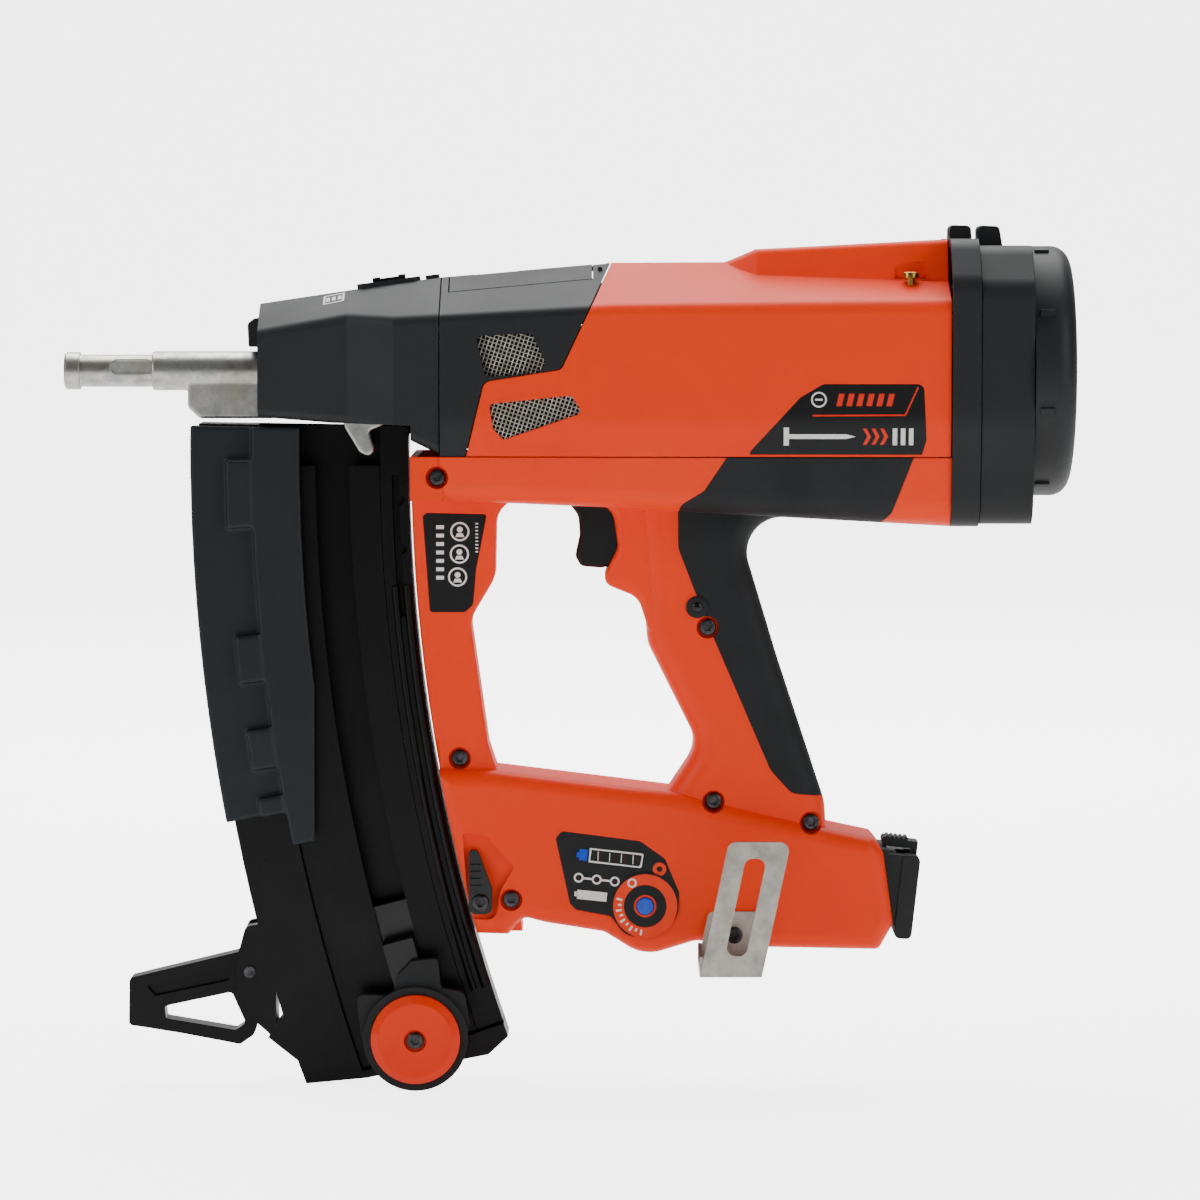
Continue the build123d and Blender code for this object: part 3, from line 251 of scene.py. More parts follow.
plastics = {
    # injection-moulded ABS with a fine satin grain: even, strong orange with soft wide highlights
    "orange_shell": dict(name="mouldedOrangeAbs", shine=0.22, colour="#FF3C00", shade="#FA3200",
        uneven=0.5, cloudMm=45, grainMm=0.9, grainDepth=0.10, rough=0.42, edgeMm=0.7),
    # moulded glass-filled polyamide, spark-eroded: charcoal that greys where light grazes it
    "dark_shell": dict(name="mouldedCharcoalPolyamide", shine=0.32, colour="#202224", shade="#1A1C1E",
        uneven=0.8, cloudMm=30, grainMm=0.8, grainDepth=0.22, rough=0.50, edgeMm=0.6),
    # moulded polyamide, satin: a little bluer than the casing
    "shield_black": dict(name="mouldedSatinPolyamide", shine=0.3, colour="#1D2327", shade="#171C20",
        uneven=0.8, cloudMm=40, grainMm=0.8, grainDepth=0.14, rough=0.42, edgeMm=0.5),
    # moulded nylon, semi-gloss: near black with crisp streaks of light
    "magazine_black": dict(name="mouldedBlackNylon", shine=0.22, colour="#070809", shade="#040505",
        uneven=0.8, cloudMm=35, grainMm=1.2, grainDepth=0.12, rough=0.30, edgeMm=0.4),
    # soft elastomer moulded over the shell: no sharp highlight, faintly dusty
    "grip_rubber": dict(name="overmouldedElastomer", shine=0.3, colour="#1E2123", shade="#181A1C",
        uneven=0.9, cloudMm=25, grainMm=0.7, grainDepth=0.30, rough=0.62, edgeMm=0.8),
    # cast polyurethane: brownish black and dull
    "bumper_rubber": dict(name="castPolyurethane", shine=0.4, colour="#2A2320", shade="#1E1917",
        uneven=0.9, cloudMm=10, grainMm=0.6, grainDepth=0.25, rough=0.7, edgeMm=0.4),
    # polished nylon: black with clear reflections
    "gloss_black": dict(name="polishedBlackNylon", shine=0.45, colour="#0A0B0C", shade="#060707",
        uneven=0.8, cloudMm=20, grainMm=1.5, grainDepth=0.04, rough=0.22, edgeMm=0.4),
    # vinyl film screen-printed near black: slight orange-peel gloss
    "label_film": dict(name="screenPrintedVinyl", shine=0.3, colour="#141517", shade="#0F1011",
        uneven=0.8, cloudMm=12, grainMm=1.4, grainDepth=0.06, rough=0.34, edgeMm=0.2),
    # moulded polycarbonate: clear blue and glossy
    "blue_button": dict(name="mouldedBluePolycarbonate", shine=0.4, colour="#1E5AE0", shade="#1748C4",
        uneven=0.8, cloudMm=3, grainMm=1.2, grainDepth=0.05, rough=0.22, edgeMm=0.3),
    # moulded nylon: a touch redder than the casing, satin
    "orange_knob": dict(name="mouldedOrangeNylon", shine=0.25, colour="#FF3800", shade="#F63000",
        uneven=0.6, cloudMm=18, grainMm=0.8, grainDepth=0.12, rough=0.36, edgeMm=0.5),
    # glass-epoxy board under solder mask: mottled green, smooth
    "circuit_board": dict(name="maskedGlassEpoxy", shine=0.5, colour="#1B5C38", shade="#123F27",
        uneven=0.9, cloudMm=3, grainMm=0.8, grainDepth=0.15, rough=0.35, edgeMm=0.1),
    # open-cell polyurethane foam: black and deeply pitted
    "filter_foam": dict(name="openCellPolyurethaneFoam", shine=0.3, colour="#383838", shade="#151515",
        uneven=1.0, cloudMm=1.2, grainMm=0.9, grainDepth=1.0, rough=0.9, edgeMm=0.3),
    # heat-shrunk PVC sleeve: light blue and glossy
    "cell_wrap": dict(name="shrunkPvcSleeve", shine=0.5, colour="#3A70A0", shade="#2F5F8C", uneven=0.7,
        cloudMm=12, grainMm=1.5, grainDepth=0.05, rough=0.25, edgeMm=0.3),
}

metals = {
    # steel, zinc plated and passivated: pale grey with blue and brown patches
    "zinc_steel": dict(name="zincPlatedSteel", colour="#D0CFC8", shade="#A6AAA9", tint="#A58A66",
        tintAmount=0.45, patchMm=5, lineMm=1.1, lineDepth=0.35, rough=0.36, edgeMm=0.35),
    # steel, turned and ground: bright with fine tool lines
    "machined_steel": dict(name="turnedSteel", colour="#B4B6B8", shade="#8F9294", tint="#A7A08F",
        tintAmount=0.3, patchMm=9, lineMm=0.7, lineDepth=0.3, rough=0.28, edgeMm=0.2,
        stretch=(1, 6, 6)),
    # stainless wire, drawn: bright thin glints with a warm cast
    "woven_stainless": dict(name="drawnStainlessWire", colour="#C9C5BB", shade="#99958C",
        tint="#B39A6E", tintAmount=0.3, patchMm=4, lineMm=0.8, lineDepth=0.1, rough=0.3, edgeMm=0.05),
    # stainless strip, brushed and tumbled: cloudy grey with faint lines along it
    "brushed_stainless": dict(name="tumbledStainlessStrip", colour="#C8C3BA", shade="#A9A49C",
        tint="#A79D90", tintAmount=0.4, patchMm=8.5, lineMm=0.8, lineDepth=0.4, rough=0.38, edgeMm=0.25,
        stretch=(5, 1, 0.6), turn=(0, 0.21, 0), anisotropic=0.4),
    # steel, blackened and oiled: dark, with a soft oily gloss
    "black_oxide": dict(name="blackOxideSteel", colour="#5A5A5D", shade="#38383A", tint="#3A332C",
        tintAmount=0.4, patchMm=3, lineMm=0.8, lineDepth=0.2, rough=0.33, edgeMm=0.2),
    # brass, turned: warm yellow with brownish patches
    "brass": dict(name="turnedBrass", colour="#D2A552", shade="#A87C36", tint="#8E6A3A", tintAmount=0.3,
        patchMm=4, lineMm=0.7, lineDepth=0.2, rough=0.28, edgeMm=0.2),
    # aluminium, sand-cast and shot-blasted: dull light grey, rough to the touch
    "cast_aluminium": dict(name="blastedCastAluminium", colour="#A9ACAE", shade="#8A8D8F",
        tint="#97948C", tintAmount=0.3, patchMm=6, lineMm=0.9, lineDepth=0.9, rough=0.5, edgeMm=0.4),
}

made = {slot: mouldedPlastic(look) for slot, look in plastics.items()}
made.update({slot: metalFinish(look) for slot, look in metals.items()})
slotOf = {part["node"]: part["material_slot"] for part in frame["record"]["subparts"]}
for nodeName, cadObject in nodes.items():
    for place in cadObject.material_slots:
        place.material = made[slotOf[nodeName]]
print("materials made:", len(made))


# flat printed work

def ring(x, z, r, count=40):
    return [(x + r * math.cos(2 * math.pi * k / count), z + r * math.sin(2 * math.pi * k / count))
            for k in range(count)]


def shifted(outline, x, z):
    return [(x + dx, z + dz) for dx, dz in outline]


def stroke(a, b, width):  # a straight line of ink between two points
    along = (Vector(b) - Vector(a)).normalized() * width / 2
    across = Vector((-along.y, along.x))
    a, b = Vector(a), Vector(b)
    return [tuple(a - across), tuple(b - across), tuple(b + across), tuple(a + across)]


# a flat shape in the XZ plane, sizes in mm, with its face towards the side given
def cutSheet(rings, y, thick, side=-1):
    curve = bpy.data.curves.new("sheet", "CURVE")
    curve.dimensions = "2D"
    curve.fill_mode = "BOTH"
    curve.extrude = thick / 2 * mm
    for points in rings:
        spline = curve.splines.new("POLY")
        spline.points.add(len(points) - 1)
        spline.use_cyclic_u = True
        for corner, (x, z) in zip(spline.points, points):
            corner.co = (-side * x * mm, z * mm, 0, 1)
    sheet = bpy.data.objects.new("sheet", curve)
    bpy.context.scene.collection.objects.link(sheet)
    only(sheet)
    bpy.ops.object.convert(target="MESH")
    turn = Matrix(((-side, 0, 0, 0), (0, 0, side, y * mm), (0, 1, 0, 0), (0, 0, 0, 1)))
    bpy.context.object.data.transform(turn)
    return merged(bpy.context.object)


def laidOn(piece, node, lift=0.05):  # wraps a flat sheet onto a curved face of a CAD node
    pick(piece, "FACE", lambda centre, normal: True)
    bpy.ops.mesh.subdivide(number_cuts=2)
    only(piece)
    withModifier(piece, "SHRINKWRAP", target=nodes[node], wrap_method="PROJECT", use_project_y=True,
                 use_positive_direction=True, use_negative_direction=True, offset=lift * mm)
    return piece


inkLooks = {
    # screen-printed vinyl inks: flat and slightly raised, with a faint uneven edge of gloss
    "whiteInk": dict(colour="#F2F2EF", shade="#E2E2DE"),
    "redInk": dict(colour="#F2300A", shade="#DE2A08"),
    "orangeInk": dict(colour="#FF3D00", shade="#F53500"),
    "blueInk": dict(colour="#0F48D8", shade="#0C3EC0"),
    "smokedWindow": dict(colour="#2A1614", shade="#1A0F0E"),
}
inkSkin = dict(shine=0.3, uneven=0.7, cloudMm=6, grainMm=0.9, grainDepth=0.05, rough=0.4, edgeMm=0.1)
inks = {name: mouldedPlastic(dict(inkSkin, name=name, **look)) for name, look in inkLooks.items()}
inkThick = {"flat": 0.06, "wrapped": 0.04}    # mm


def printed(name, groups, y, ink, body, side=-1, wrapOn=None):
    sheets = [cutSheet(rings, y, inkThick["flat"] if wrapOn is None else 0.0, side) for rings in groups]
    if wrapOn is not None:
        sheets = [laidOn(sheet, wrapOn) for sheet in sheets]
    piece = joined(sheets, name)
    if wrapOn is not None:
        withModifier(piece, "SOLIDIFY", thickness=inkThick["wrapped"] * mm, offset=0)
    return finished(piece, inks[ink], body)


# energy panel on the foot

panel = {
    "dial": (248.5, -227.8),
    "faceY": -24.12,          # film face, mm
    "dialY": -24.78,
    "orangeRing": (13.7, 9.1),
    "thinRing": (4.8, 3.95),
    "eye": (6.1, 15.8),
    "eyeR": (2.9, 1.2),
    "stepLamps": [(-28.4, 12.15), (-20.7, 11.35), (-13.0, 10.5)],
    "lampR": (2.1, 1.3),
    "gauge": [(-23.6, 24.9), (-1.2, 22.5), (-0.7, 21.9), (-1.5, 16.9), (-2.1, 16.3), (-24.2, 18.8)],
    "gaugeLine": 0.7,
    "bars": [(-19.0, 21.4), (-14.1, 20.9), (-9.1, 20.4), (-4.1, 19.9)],
    "barEdge": ((-1.2, -1.9), (-1.0, 1.9)),
    "barEdgeWidth": 0.35,
    "barWindow": [(-0.7, 1.95), (1.4, 1.75), (1.1, -2.15), (-1.0, -1.95)],
    "cell": [(-28.9, 7.0), (-16.2, 5.7), (-16.6, 1.8), (-29.2, 3.1)],
    "cellPole": [(-30.1, 6.3), (-29.1, 6.2), (-29.3, 4.2), (-30.3, 4.3)],
    "tank": [(-28.0, 24.5), (-24.4, 24.2), (-24.9, 19.3), (-28.3, 19.8), (-28.2, 20.9), (-29.4, 21.0),
             (-29.2, 23.1), (-28.1, 23.0)],
    "ticks": 9,
    "tickFrom": 165,          # degrees round the dial
    "tickStep": 12,
    "tickR": (10.2, 12.6, 11.6),    # inner end, outer end of a long one and of a short one
    "tickWidth": 0.9,
    "dialMark": (2.0, 1.25, (-5.6, 9.9)),
}


def panelPoint(point):
    return (panel["dial"][0] + point[0], panel["dial"][1] + point[1])


def onPanel(outline, place=(0, 0)):
    return shifted(outline, *panelPoint(place))


def dialRing(outer, inner, place=(0, 0)):
    x, z = panelPoint(place)
    return [ring(x, z, outer, 64), ring(x, z, inner, 64)]


def buildPanel():
    face, dialFace = panel["faceY"], panel["dialY"]
    dialRings = [dialRing(*panel["orangeRing"]), dialRing(*panel["thinRing"])]
    printed("dial_ring_print", dialRings, dialFace - 0.03, "orangeInk", "frame")
    eye = [dialRing(*panel["eyeR"], panel["eye"])]
    printed("lamp_eye_print", eye, face - 0.03, "orangeInk", "frame")
    outline = onPanel(panel["gauge"])
    middle = (sum(x for x, z in outline) / len(outline), sum(z for x, z in outline) / len(outline))
    line = panel["gaugeLine"]
    inner = [(x + math.copysign(line, middle[0] - x), z + math.copysign(line, middle[1] - z))
             for x, z in outline]
    white = [[outline, inner]]
    white += [dialRing(*panel["lampR"], place) for place in panel["stepLamps"]]
    for a, b in zip(panel["stepLamps"], panel["stepLamps"][1:]):
        gap = (Vector(b) - Vector(a)).normalized() * (panel["lampR"][0] - 0.2)
        white.append([stroke(panelPoint(Vector(a) + gap), panelPoint(Vector(b) - gap), 0.9)])
    white += [[onPanel(panel[shape])] for shape in ("cell", "cellPole")]
    for place in panel["bars"]:
        white.append([stroke(*onPanel(panel["barEdge"], place), panel["barEdgeWidth"])])
    printed("panel_white_print", white, face - 0.03, "whiteInk", "frame")
    marks = []
    for k in range(panel["ticks"]):  # a plain scale round the dial
        angle = math.radians(panel["tickFrom"] + panel["tickStep"] * k)
        near, far = panel["tickR"][0], panel["tickR"][1 + k % 2]
        ends = [(r * math.cos(angle), r * math.sin(angle)) for r in (near, far)]
        marks.append([stroke(*onPanel(ends), panel["tickWidth"])])
    marks.append(dialRing(*panel["dialMark"]))
    printed("dial_white_print", marks, dialFace - 0.09, "whiteInk", "frame")
    windows = [[onPanel(panel["barWindow"], place)] for place in panel["bars"]]
    windows += [[ring(*panelPoint(place), panel["lampR"][1] - 0.05)] for place in panel["stepLamps"]]
    windows.append([ring(*panelPoint(panel["eye"]), panel["eyeR"][1] - 0.05)])
    printed("panel_window_print", windows, face - 0.02, "smokedWindow", "frame")
    printed("panel_blue_print", [[onPanel(panel["tank"])]], face - 0.03, "blueInk", "frame")


buildPanel()
print("energy panel printed")


# badge on each side of the hood, label on the strut

badge = {
    "redLine": [(318.3, -17.6), (357.2, -17.4), (362.6, -5.6)],
    "lineWidth": 0.7,
    "roundel": (321.0, -10.9, 3.3, 2.6),
    "bars": 6,
    "barStart": (328.2, -13.6),
    "barStep": 4.2,
    "bar": [(0, 0), (2.4, 0), (3.6, 5.2), (1.2, 5.2)],
    "arrow": [(0, -3.4), (1.6, -3.4), (3.4, 0), (1.6, 3.4), (0, 3.4), (1.8, 0)],
    "arrowPlaces": [(339.5, -26.4), (343.1, -26.4), (346.7, -26.4)],
    "nail": [(308.5, -27.4), (332.5, -27.4), (336.5, -26.4), (332.5, -25.4), (308.5, -25.4), (308.5, -22.6),
             (306.3, -22.6), (306.3, -30.2), (308.5, -30.2)],
    "posts": [352.0, 355.4, 358.8],
    "postBox": (1.9, -30.0, -22.9),     # width, lower and upper z
    "fromY": 60,              # mm, outside the plates, from where a print is laid on them
}


def buildBadge(side):
    word = "left" if side < 0 else "right"
    y = side * badge["fromY"]
    x, z, outer, inner = badge["roundel"]
    red = [[stroke(a, b, badge["lineWidth"])] for a, b in zip(badge["redLine"], badge["redLine"][1:])]
    startX, startZ = badge["barStart"]
    red += [[shifted(badge["bar"], startX + badge["barStep"] * k, startZ)] for k in range(badge["bars"])]
    red += [[shifted(badge["arrow"], *place)] for place in badge["arrowPlaces"]]
    printed(f"badge_red_print_{word}", red, y, "redInk", "frame", side, "side_badges")
    white = [[ring(x, z, outer), ring(x, z, inner)], [stroke((x - 1.6, z), (x + 1.6, z), 0.8)]]
    white.append([badge["nail"]])
    width, low, high = badge["postBox"]
    for left in badge["posts"]:
        white.append([[(left, low), (left + width, low), (left + width, high), (left, high)]])
    printed(f"badge_white_print_{word}", white, y, "whiteInk", "frame", side, "side_badges")


strutLabel = {
    "faceY": -15.03,
    "signs": [(169.4, -68.2), (169.2, -77.8), (168.4, -87.6)],
    "signR": (4.1, 3.3),
    "head": (0.9, 1.25),                # height over the sign's middle, and radius
    "shoulders": [(-1.9, -2.3), (1.9, -2.3), (1.2, -0.7), (-1.2, -0.7)],
    # count, left, right and top of the first, step, height
    "columns": [(7, 159.3, 162.6, -65.5, 3.6, 1.6), (9, 176.0, 177.2, -64.5, 1.5, 0.6)],
}


def buildStrutLabel():  # plain round pictograms between a column of blocks and one of dashes
    outer, inner = strutLabel["signR"]
    headZ, headR = strutLabel["head"]
    white = []
    for x, z in strutLabel["signs"]:
        white.append([ring(x, z, outer), ring(x, z, inner)])
        white.append([ring(x, z + headZ, headR, 20)])
        white.append([shifted(strutLabel["shoulders"], x, z)])
    for count, left, right, top, step, height in strutLabel["columns"]:
        for z in [top - step * k for k in range(count)]:
            white.append([[(left, z - height), (right, z - height), (right, z), (left, z)]])
    printed("strut_white_print", white, strutLabel["faceY"], "whiteInk", "frame")


for side in (-1, 1):
    buildBadge(side)
buildStrutLabel()
print("badges and label printed")


# screws

screw = {
    "headR": 3.6,
    "headLength": 2.6,
    "shankR": 1.9,
    "shankLength": 9.0,
    "lobeR": 1.55,
    "lobeRise": 0.24,
    "lobeDepth": 1.8,
}


def solidBoxes(node):  # the box of each separate solid in a CAD node, in mm
    copy = copyOf(nodes[node], "solids")
    copy.parent = None
    merged(copy)
    pick(copy, "VERT", lambda co: True)
    bpy.ops.mesh.separate(type="LOOSE")
    bpy.ops.object.mode_set(mode="OBJECT")
    boxes = []
    for part in list(bpy.context.selected_objects):
        corners = [v.co / mm for v in part.data.vertices]
        low = Vector([min(c[i] for c in corners) for i in range(3)])
        high = Vector([max(c[i] for c in corners) for i in range(3)])
        boxes.append((low, high))
        removed(part)
    return sorted(boxes, key=lambda box: tuple(box[0]))


def torxScrew(look):  # stands on Z with its seat at 0 and its head above
    bpy.ops.object.select_all(action="DESELECT")
    top = look["headLength"] * mm
    bpy.ops.mesh.primitive_cylinder_add(vertices=32, radius=look["headR"] * mm, depth=top,
                                        location=(0, 0, look["headLength"] / 2 * mm))
    piece = settle(bpy.context.object, "torx_screw")
    pick(piece, "FACE", lambda centre, normal: normal.z < -0.9)
    bpy.ops.mesh.inset(thickness=(look["headR"] - look["shankR"]) * mm)
    bpy.ops.mesh.extrude_region_move(TRANSFORM_OT_translate={"value": (0, 0, -look["shankLength"] * mm)})
    pick(piece, "EDGE", lambda a, b: min(a.z, b.z) > top - 1e-6 and a.length > 2 * mm)
    bpy.ops.mesh.bevel(offset=0.85 * mm, segments=4)
    star = []
    for angle in [2 * math.pi * k / 48 for k in range(48)]:  # six lobes
        r = look["lobeR"] + look["lobeRise"] * math.cos(6 * angle)
        star.append((r * math.cos(angle), r * math.sin(angle)))
    cutter = cutSheet([star], 0, 2 * look["lobeDepth"])
    cutter.data.transform(Matrix.Translation((0, 0, top)) @ Matrix.Rotation(math.radians(-90), 4, "X"))
    withModifier(piece, "BOOLEAN", operation="DIFFERENCE", object=cutter, solver="EXACT")
    removed(cutter)
    return smooth(piece, 40)


def screwsFrom(node, material, body, axis="Y"):
    master = torxScrew(screw)
    group = []
    for low, high in solidBoxes(node):
        middle = (low + high) / 2
        if axis == "Y":
            size = min(high.x - low.x, high.z - low.z) / 2 / screw["headR"]
            seat = Vector((middle.x, low.y + screw["headLength"] * size, middle.z))
            turn = Matrix.Rotation(math.radians(90), 4, "X")
        else:
            size = min(high.x - low.x, high.y - low.y) / 2 / screw["headR"]
            seat = Vector((middle.x, middle.y, high.z - screw["headLength"] * size))
            turn = Matrix.Identity(4)
        group.append(copyOf(master, "screw", Matrix.Translation(seat * mm) @ turn @ Matrix.Scale(size, 4)))
    removed(master)
    return finished(joined(group, node + "_torx"), made[material], body, [node])


screwsFrom("frame_screws", "black_oxide", "frame")
screwsFrom("knob_screw", "black_oxide", "pusher")
screwsFrom("hood_screws", "brass", "frame", "Z")
print("screws made")


# woven wire in the side windows

weave = {
    "pitch": 1.75,            # mm between wires, a little coarser than real cloth so that it shows
    "wireR": 0.31,
    "turn": -18,              # degrees, as the cloth was cut across its wires
    "patch": 48,              # the square that each window is cut from
    "upper": [(176.4, 16.4), (201.4, 17.6), (207.6, 4.0), (204, -0.9), (180.3, -2.4)],
    "lower": [(181.7, -12.0), (217.8, -8.3), (222.8, -16.8), (188.6, -28.8), (183.2, -23.6)],
    "upperSink": 1.6,         # how far the cloth lies behind the CAD plate's face
    "lowerSink": 0.1,
    "backing": 1.6,           # from the cloth to the middle of the dark sheet of painted shade behind it
    "shadeSheetThick": 0.8,
}


def oneWire(length, phase):  # wavy wire along X, centred
    pitch, r = weave["pitch"] * mm, weave["wireR"] * mm
    count = int(length * mm / pitch) + 2
    start = -count * pitch / 2
    bpy.ops.object.select_all(action="DESELECT")
    bpy.ops.mesh.primitive_circle_add(vertices=6, radius=r, fill_type="NGON", location=(start, 0, phase * r),
                                      rotation=(0, math.radians(90), 0))
    wire = settle(bpy.context.object, "wire")
    pick(wire, "FACE", lambda centre, normal: True)
    side = phase
    for k in range(count):
        bpy.ops.mesh.extrude_region_move(TRANSFORM_OT_translate={"value": (pitch, 0, -2 * side * r)})
        side = -side
    only(wire)
    return wire


def clothPatch(size):  # flat square of cloth in the XY plane
    count = int(size / weave["pitch"])
    wires = {1: oneWire(size, 1), -1: oneWire(size, -1)}
    group = []
    for k in range(count):
        along = (k - count / 2) * weave["pitch"] * mm
        sign = 1 if k % 2 else -1
        group.append(copyOf(wires[sign], "wire", Matrix.Translation((0, along, 0))))
        group.append(copyOf(wires[-sign], "wire",
                            Matrix.Translation((along, 0, 0)) @ Matrix.Rotation(math.radians(90), 4, "Z")))
    for wire in wires.values():
        removed(wire)
    return joined(group, "cloth")


def facePlane(node, side):  # average plane of a CAD node's outer face on one side
    middle, normal, area = Vector(), Vector(), 0.0
    for f in nodes[node].data.polygons:
        if f.normal.y * side > 0.8 and f.center.y * side > 0:
            middle += f.center * f.area
            normal += f.normal * f.area
            area += f.area
    return middle / area, normal.normalized()


def shadeSheet(corners, middle, matrix):  # painted shade: a dark foam sheet behind the cloth that stands in for the dark inside of the casing
    rings = [[tuple((Vector(c) - middle) * 1.02) for c in corners]]
    pad = cutSheet(rings, 0, weave["shadeSheetThick"], 1)
    pad.data.transform(matrix @ Matrix.Rotation(math.radians(-90), 4, "X"))
    return merged(pad)


def buildCloth(node, window, sink):
    patch = clothPatch(weave["patch"])
    patch.data.transform(Matrix.Rotation(math.radians(weave["turn"]), 4, "Z"))
    corners = weave[window]
    middle = Vector((sum(x for x, z in corners), sum(z for x, z in corners))) / len(corners)
    for a, b in zip(corners, corners[1:] + corners[:1]):
        a, b = (Vector(a) - middle) * mm, (Vector(b) - middle) * mm
        edge = b - a
        out = Vector((-edge.y, edge.x, 0)).normalized()
        pick(patch, "FACE", lambda centre, normal: True)
        bpy.ops.mesh.bisect(plane_co=(a.x, a.y, 0), plane_no=out, clear_outer=True, use_fill=True)
    only(patch)
    group, shadeSheets = [], []
    for side in (-1, 1):
        centre, normal = facePlane(node, side)
        place = Vector((middle.x * mm, centre.y, middle.y * mm)) - normal * sink * mm
        up = Vector((0, 0, 1))
        right = up.cross(normal).normalized()
        up = normal.cross(right)
        turn = Matrix((-side * right, up, normal)).transposed().to_4x4()
        group.append(copyOf(patch, "cloth", Matrix.Translation(place) @ turn))
        behind = Matrix.Translation(place - normal * weave["backing"] * mm) @ turn
        shadeSheets.append(shadeSheet(corners, middle, behind))
    removed(patch)
    # the dark sheets behind the cloth are painted shade, drawn in the foam material
    finished(joined(shadeSheets, node + "_shade_sheet"), made["filter_foam"], "frame")
    piece = joined(group, node + "_woven")
    for f in piece.data.polygons:
        f.use_smooth = True
    return finished(piece, made["woven_stainless"], "frame", [node])


buildCloth("upper_meshes", "upper", weave["upperSink"])
buildCloth("lower_meshes", "lower", weave["lowerSink"])
print("wire cloth woven")


# coil springs in place of the plain tubes

springs = {
    # node: (wire radius in mm, coils, body, joint, share of its length left at the joint's limit)
    "probe_springs": (0.45, 14, "frame", "probe_slide", 0.436),
    "trigger_spring": (0.40, 7, "frame", "trigger_pull", 0.624),
}


def coilSpring(length, outerR, wireR, coils):  # along X from 0, the wire's two ends capped flat
    bpy.ops.object.select_all(action="DESELECT")
    bpy.ops.mesh.primitive_circle_add(vertices=8, radius=wireR * mm, fill_type="NOTHING",
                                      location=((outerR - wireR) * mm, 0, 0),
                                      rotation=(math.radians(90), 0, 0))
    spring = settle(bpy.context.object, "coil_spring")
    withModifier(spring, "SCREW", axis="Z", steps=20, render_steps=20, iterations=coils,
                 screw_offset=(length - 2 * wireR) / coils * mm, use_merge_vertices=True)
    pick(spring, "EDGE", lambda a, b: False)
    bpy.ops.mesh.select_non_manifold()
    bpy.ops.mesh.fill_holes(sides=0)
    only(spring)
    spring.data.transform(Matrix.Translation((wireR * mm, 0, 0)) @ Matrix.Rotation(math.radians(90), 4, "Y"))
    return smooth(merged(spring), 50)


def buildSprings(node):
    wireR, coils, body, joint, left = springs[node]
    group = []
    for low, high in solidBoxes(node):
        middle = (low + high) / 2
        spring = coilSpring(high.x - low.x, (high.y - low.y) / 2, wireR, coils)
        spring.data.transform(Matrix.Translation(Vector((low.x, middle.y, middle.z)) * mm))
        group.append(spring)
    piece = finished(joined(group, node + "_coils"), made["machined_steel"], body, [node])
    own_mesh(piece)


for springNode in springs:
    buildSprings(springNode)
print("springs wound")


# small mouldings on the casing

trim = {
    "gripTab": (270.6, -100.2, 4.7, 0.9),     # x, z, radius and height
    "gripFace": -19.0,                        # y of the grip's left face
    "gripStud": (2.4, 1.3),                   # radius and height
    "probeSlot": (20.0, 38.2, 4.9, -1.5),     # x of its ends, upper and lower z
    "probeRim": 0.7,
    "iconPlate": [(111.4, 28.4), (120.4, 30.2), (120.4, 33.6), (111.4, 31.9)],
}


def stadium(x0, x1, z0, z1, grow=0.0, count=12):  # a slot's outline with round ends
    r = (z1 - z0) / 2 + grow
    middle = (z0 + z1) / 2
    left = [(x0 + r - grow + r * math.cos(a), middle + r * math.sin(a))
            for a in [math.pi / 2 + math.pi * k / count for k in range(count + 1)]]
    right = [(x1 - r + grow + r * math.cos(a), middle + r * math.sin(a))
             for a in [-math.pi / 2 + math.pi * k / count for k in range(count + 1)]]
    return left + right


def buildGripTab():
    x, z, r, height = trim["gripTab"]
    studR, studHeight = trim["gripStud"]
    face = trim["gripFace"] * mm
    bpy.ops.object.select_all(action="DESELECT")
    bpy.ops.mesh.primitive_cylinder_add(vertices=48, radius=r * mm, depth=2 * height * mm,
                                        location=(x * mm, face, z * mm), rotation=(math.radians(90), 0, 0))
    tab = settle(bpy.context.object, "grip_tab")
    pick(tab, "EDGE", lambda a, b: max(a.y, b.y) < face - 0.5 * mm and (a - b).length < r * mm)
    bpy.ops.mesh.bevel(offset=0.5 * mm, segments=3)
    finished(smooth(only(tab)), made["grip_rubber"], "frame")
    bpy.ops.object.select_all(action="DESELECT")
    seat = face - 0.4 * mm
    bpy.ops.mesh.primitive_uv_sphere_add(segments=32, ring_count=16, radius=studR * mm,
                                         location=(x * mm, seat, z * mm))
    stud = bpy.context.object
    stud.scale = (1, studHeight / studR, 1)
    settle(stud, "grip_stud")
    pick(stud, "FACE", lambda centre, normal: True)
    bpy.ops.mesh.bisect(plane_co=(0, seat, 0), plane_no=(0, 1, 0), clear_outer=True, use_fill=True)
    finished(smooth(only(stud), 60), made["gloss_black"], "frame")


def buildProbeRims():  # the pressed rim round the slot in each side of the probe
    x0, x1, top, bottom = trim["probeSlot"]
    group = []
    for side in (-1, 1):
        rings = [stadium(x0, x1, bottom, top, trim["probeRim"]), stadium(x0, x1, bottom, top)]
        rim = laidOn(cutSheet(rings, side * 20, 0.0, side), "probe_tip", 0.1)
        group.append(withModifier(rim, "SOLIDIFY", thickness=0.35 * mm, offset=0))
    finished(smooth(joined(group, "probe_slot_rims")), made["zinc_steel"], "probe")


def buildIconPlate():
    corners = trim["iconPlate"]
    middle = Vector((sum(x for x, z in corners), sum(z for x, z in corners))) / len(corners)
    inner = [tuple(middle + (Vector(c) - middle) * 0.80) for c in corners]
    marks = [[corners, inner]]
    for k in (-1, 0, 1):  # three plain squares
        at = middle + Vector((2.5, 0.5)) * k
        marks.append([[tuple(at + Vector(d)) for d in ((-0.8, -0.9), (0.8, -0.6), (0.8, 0.9), (-0.8, 0.6))]])
    printed("icon_plate_print", marks, -badge["fromY"], "whiteInk", "frame", -1, "nose_shroud")


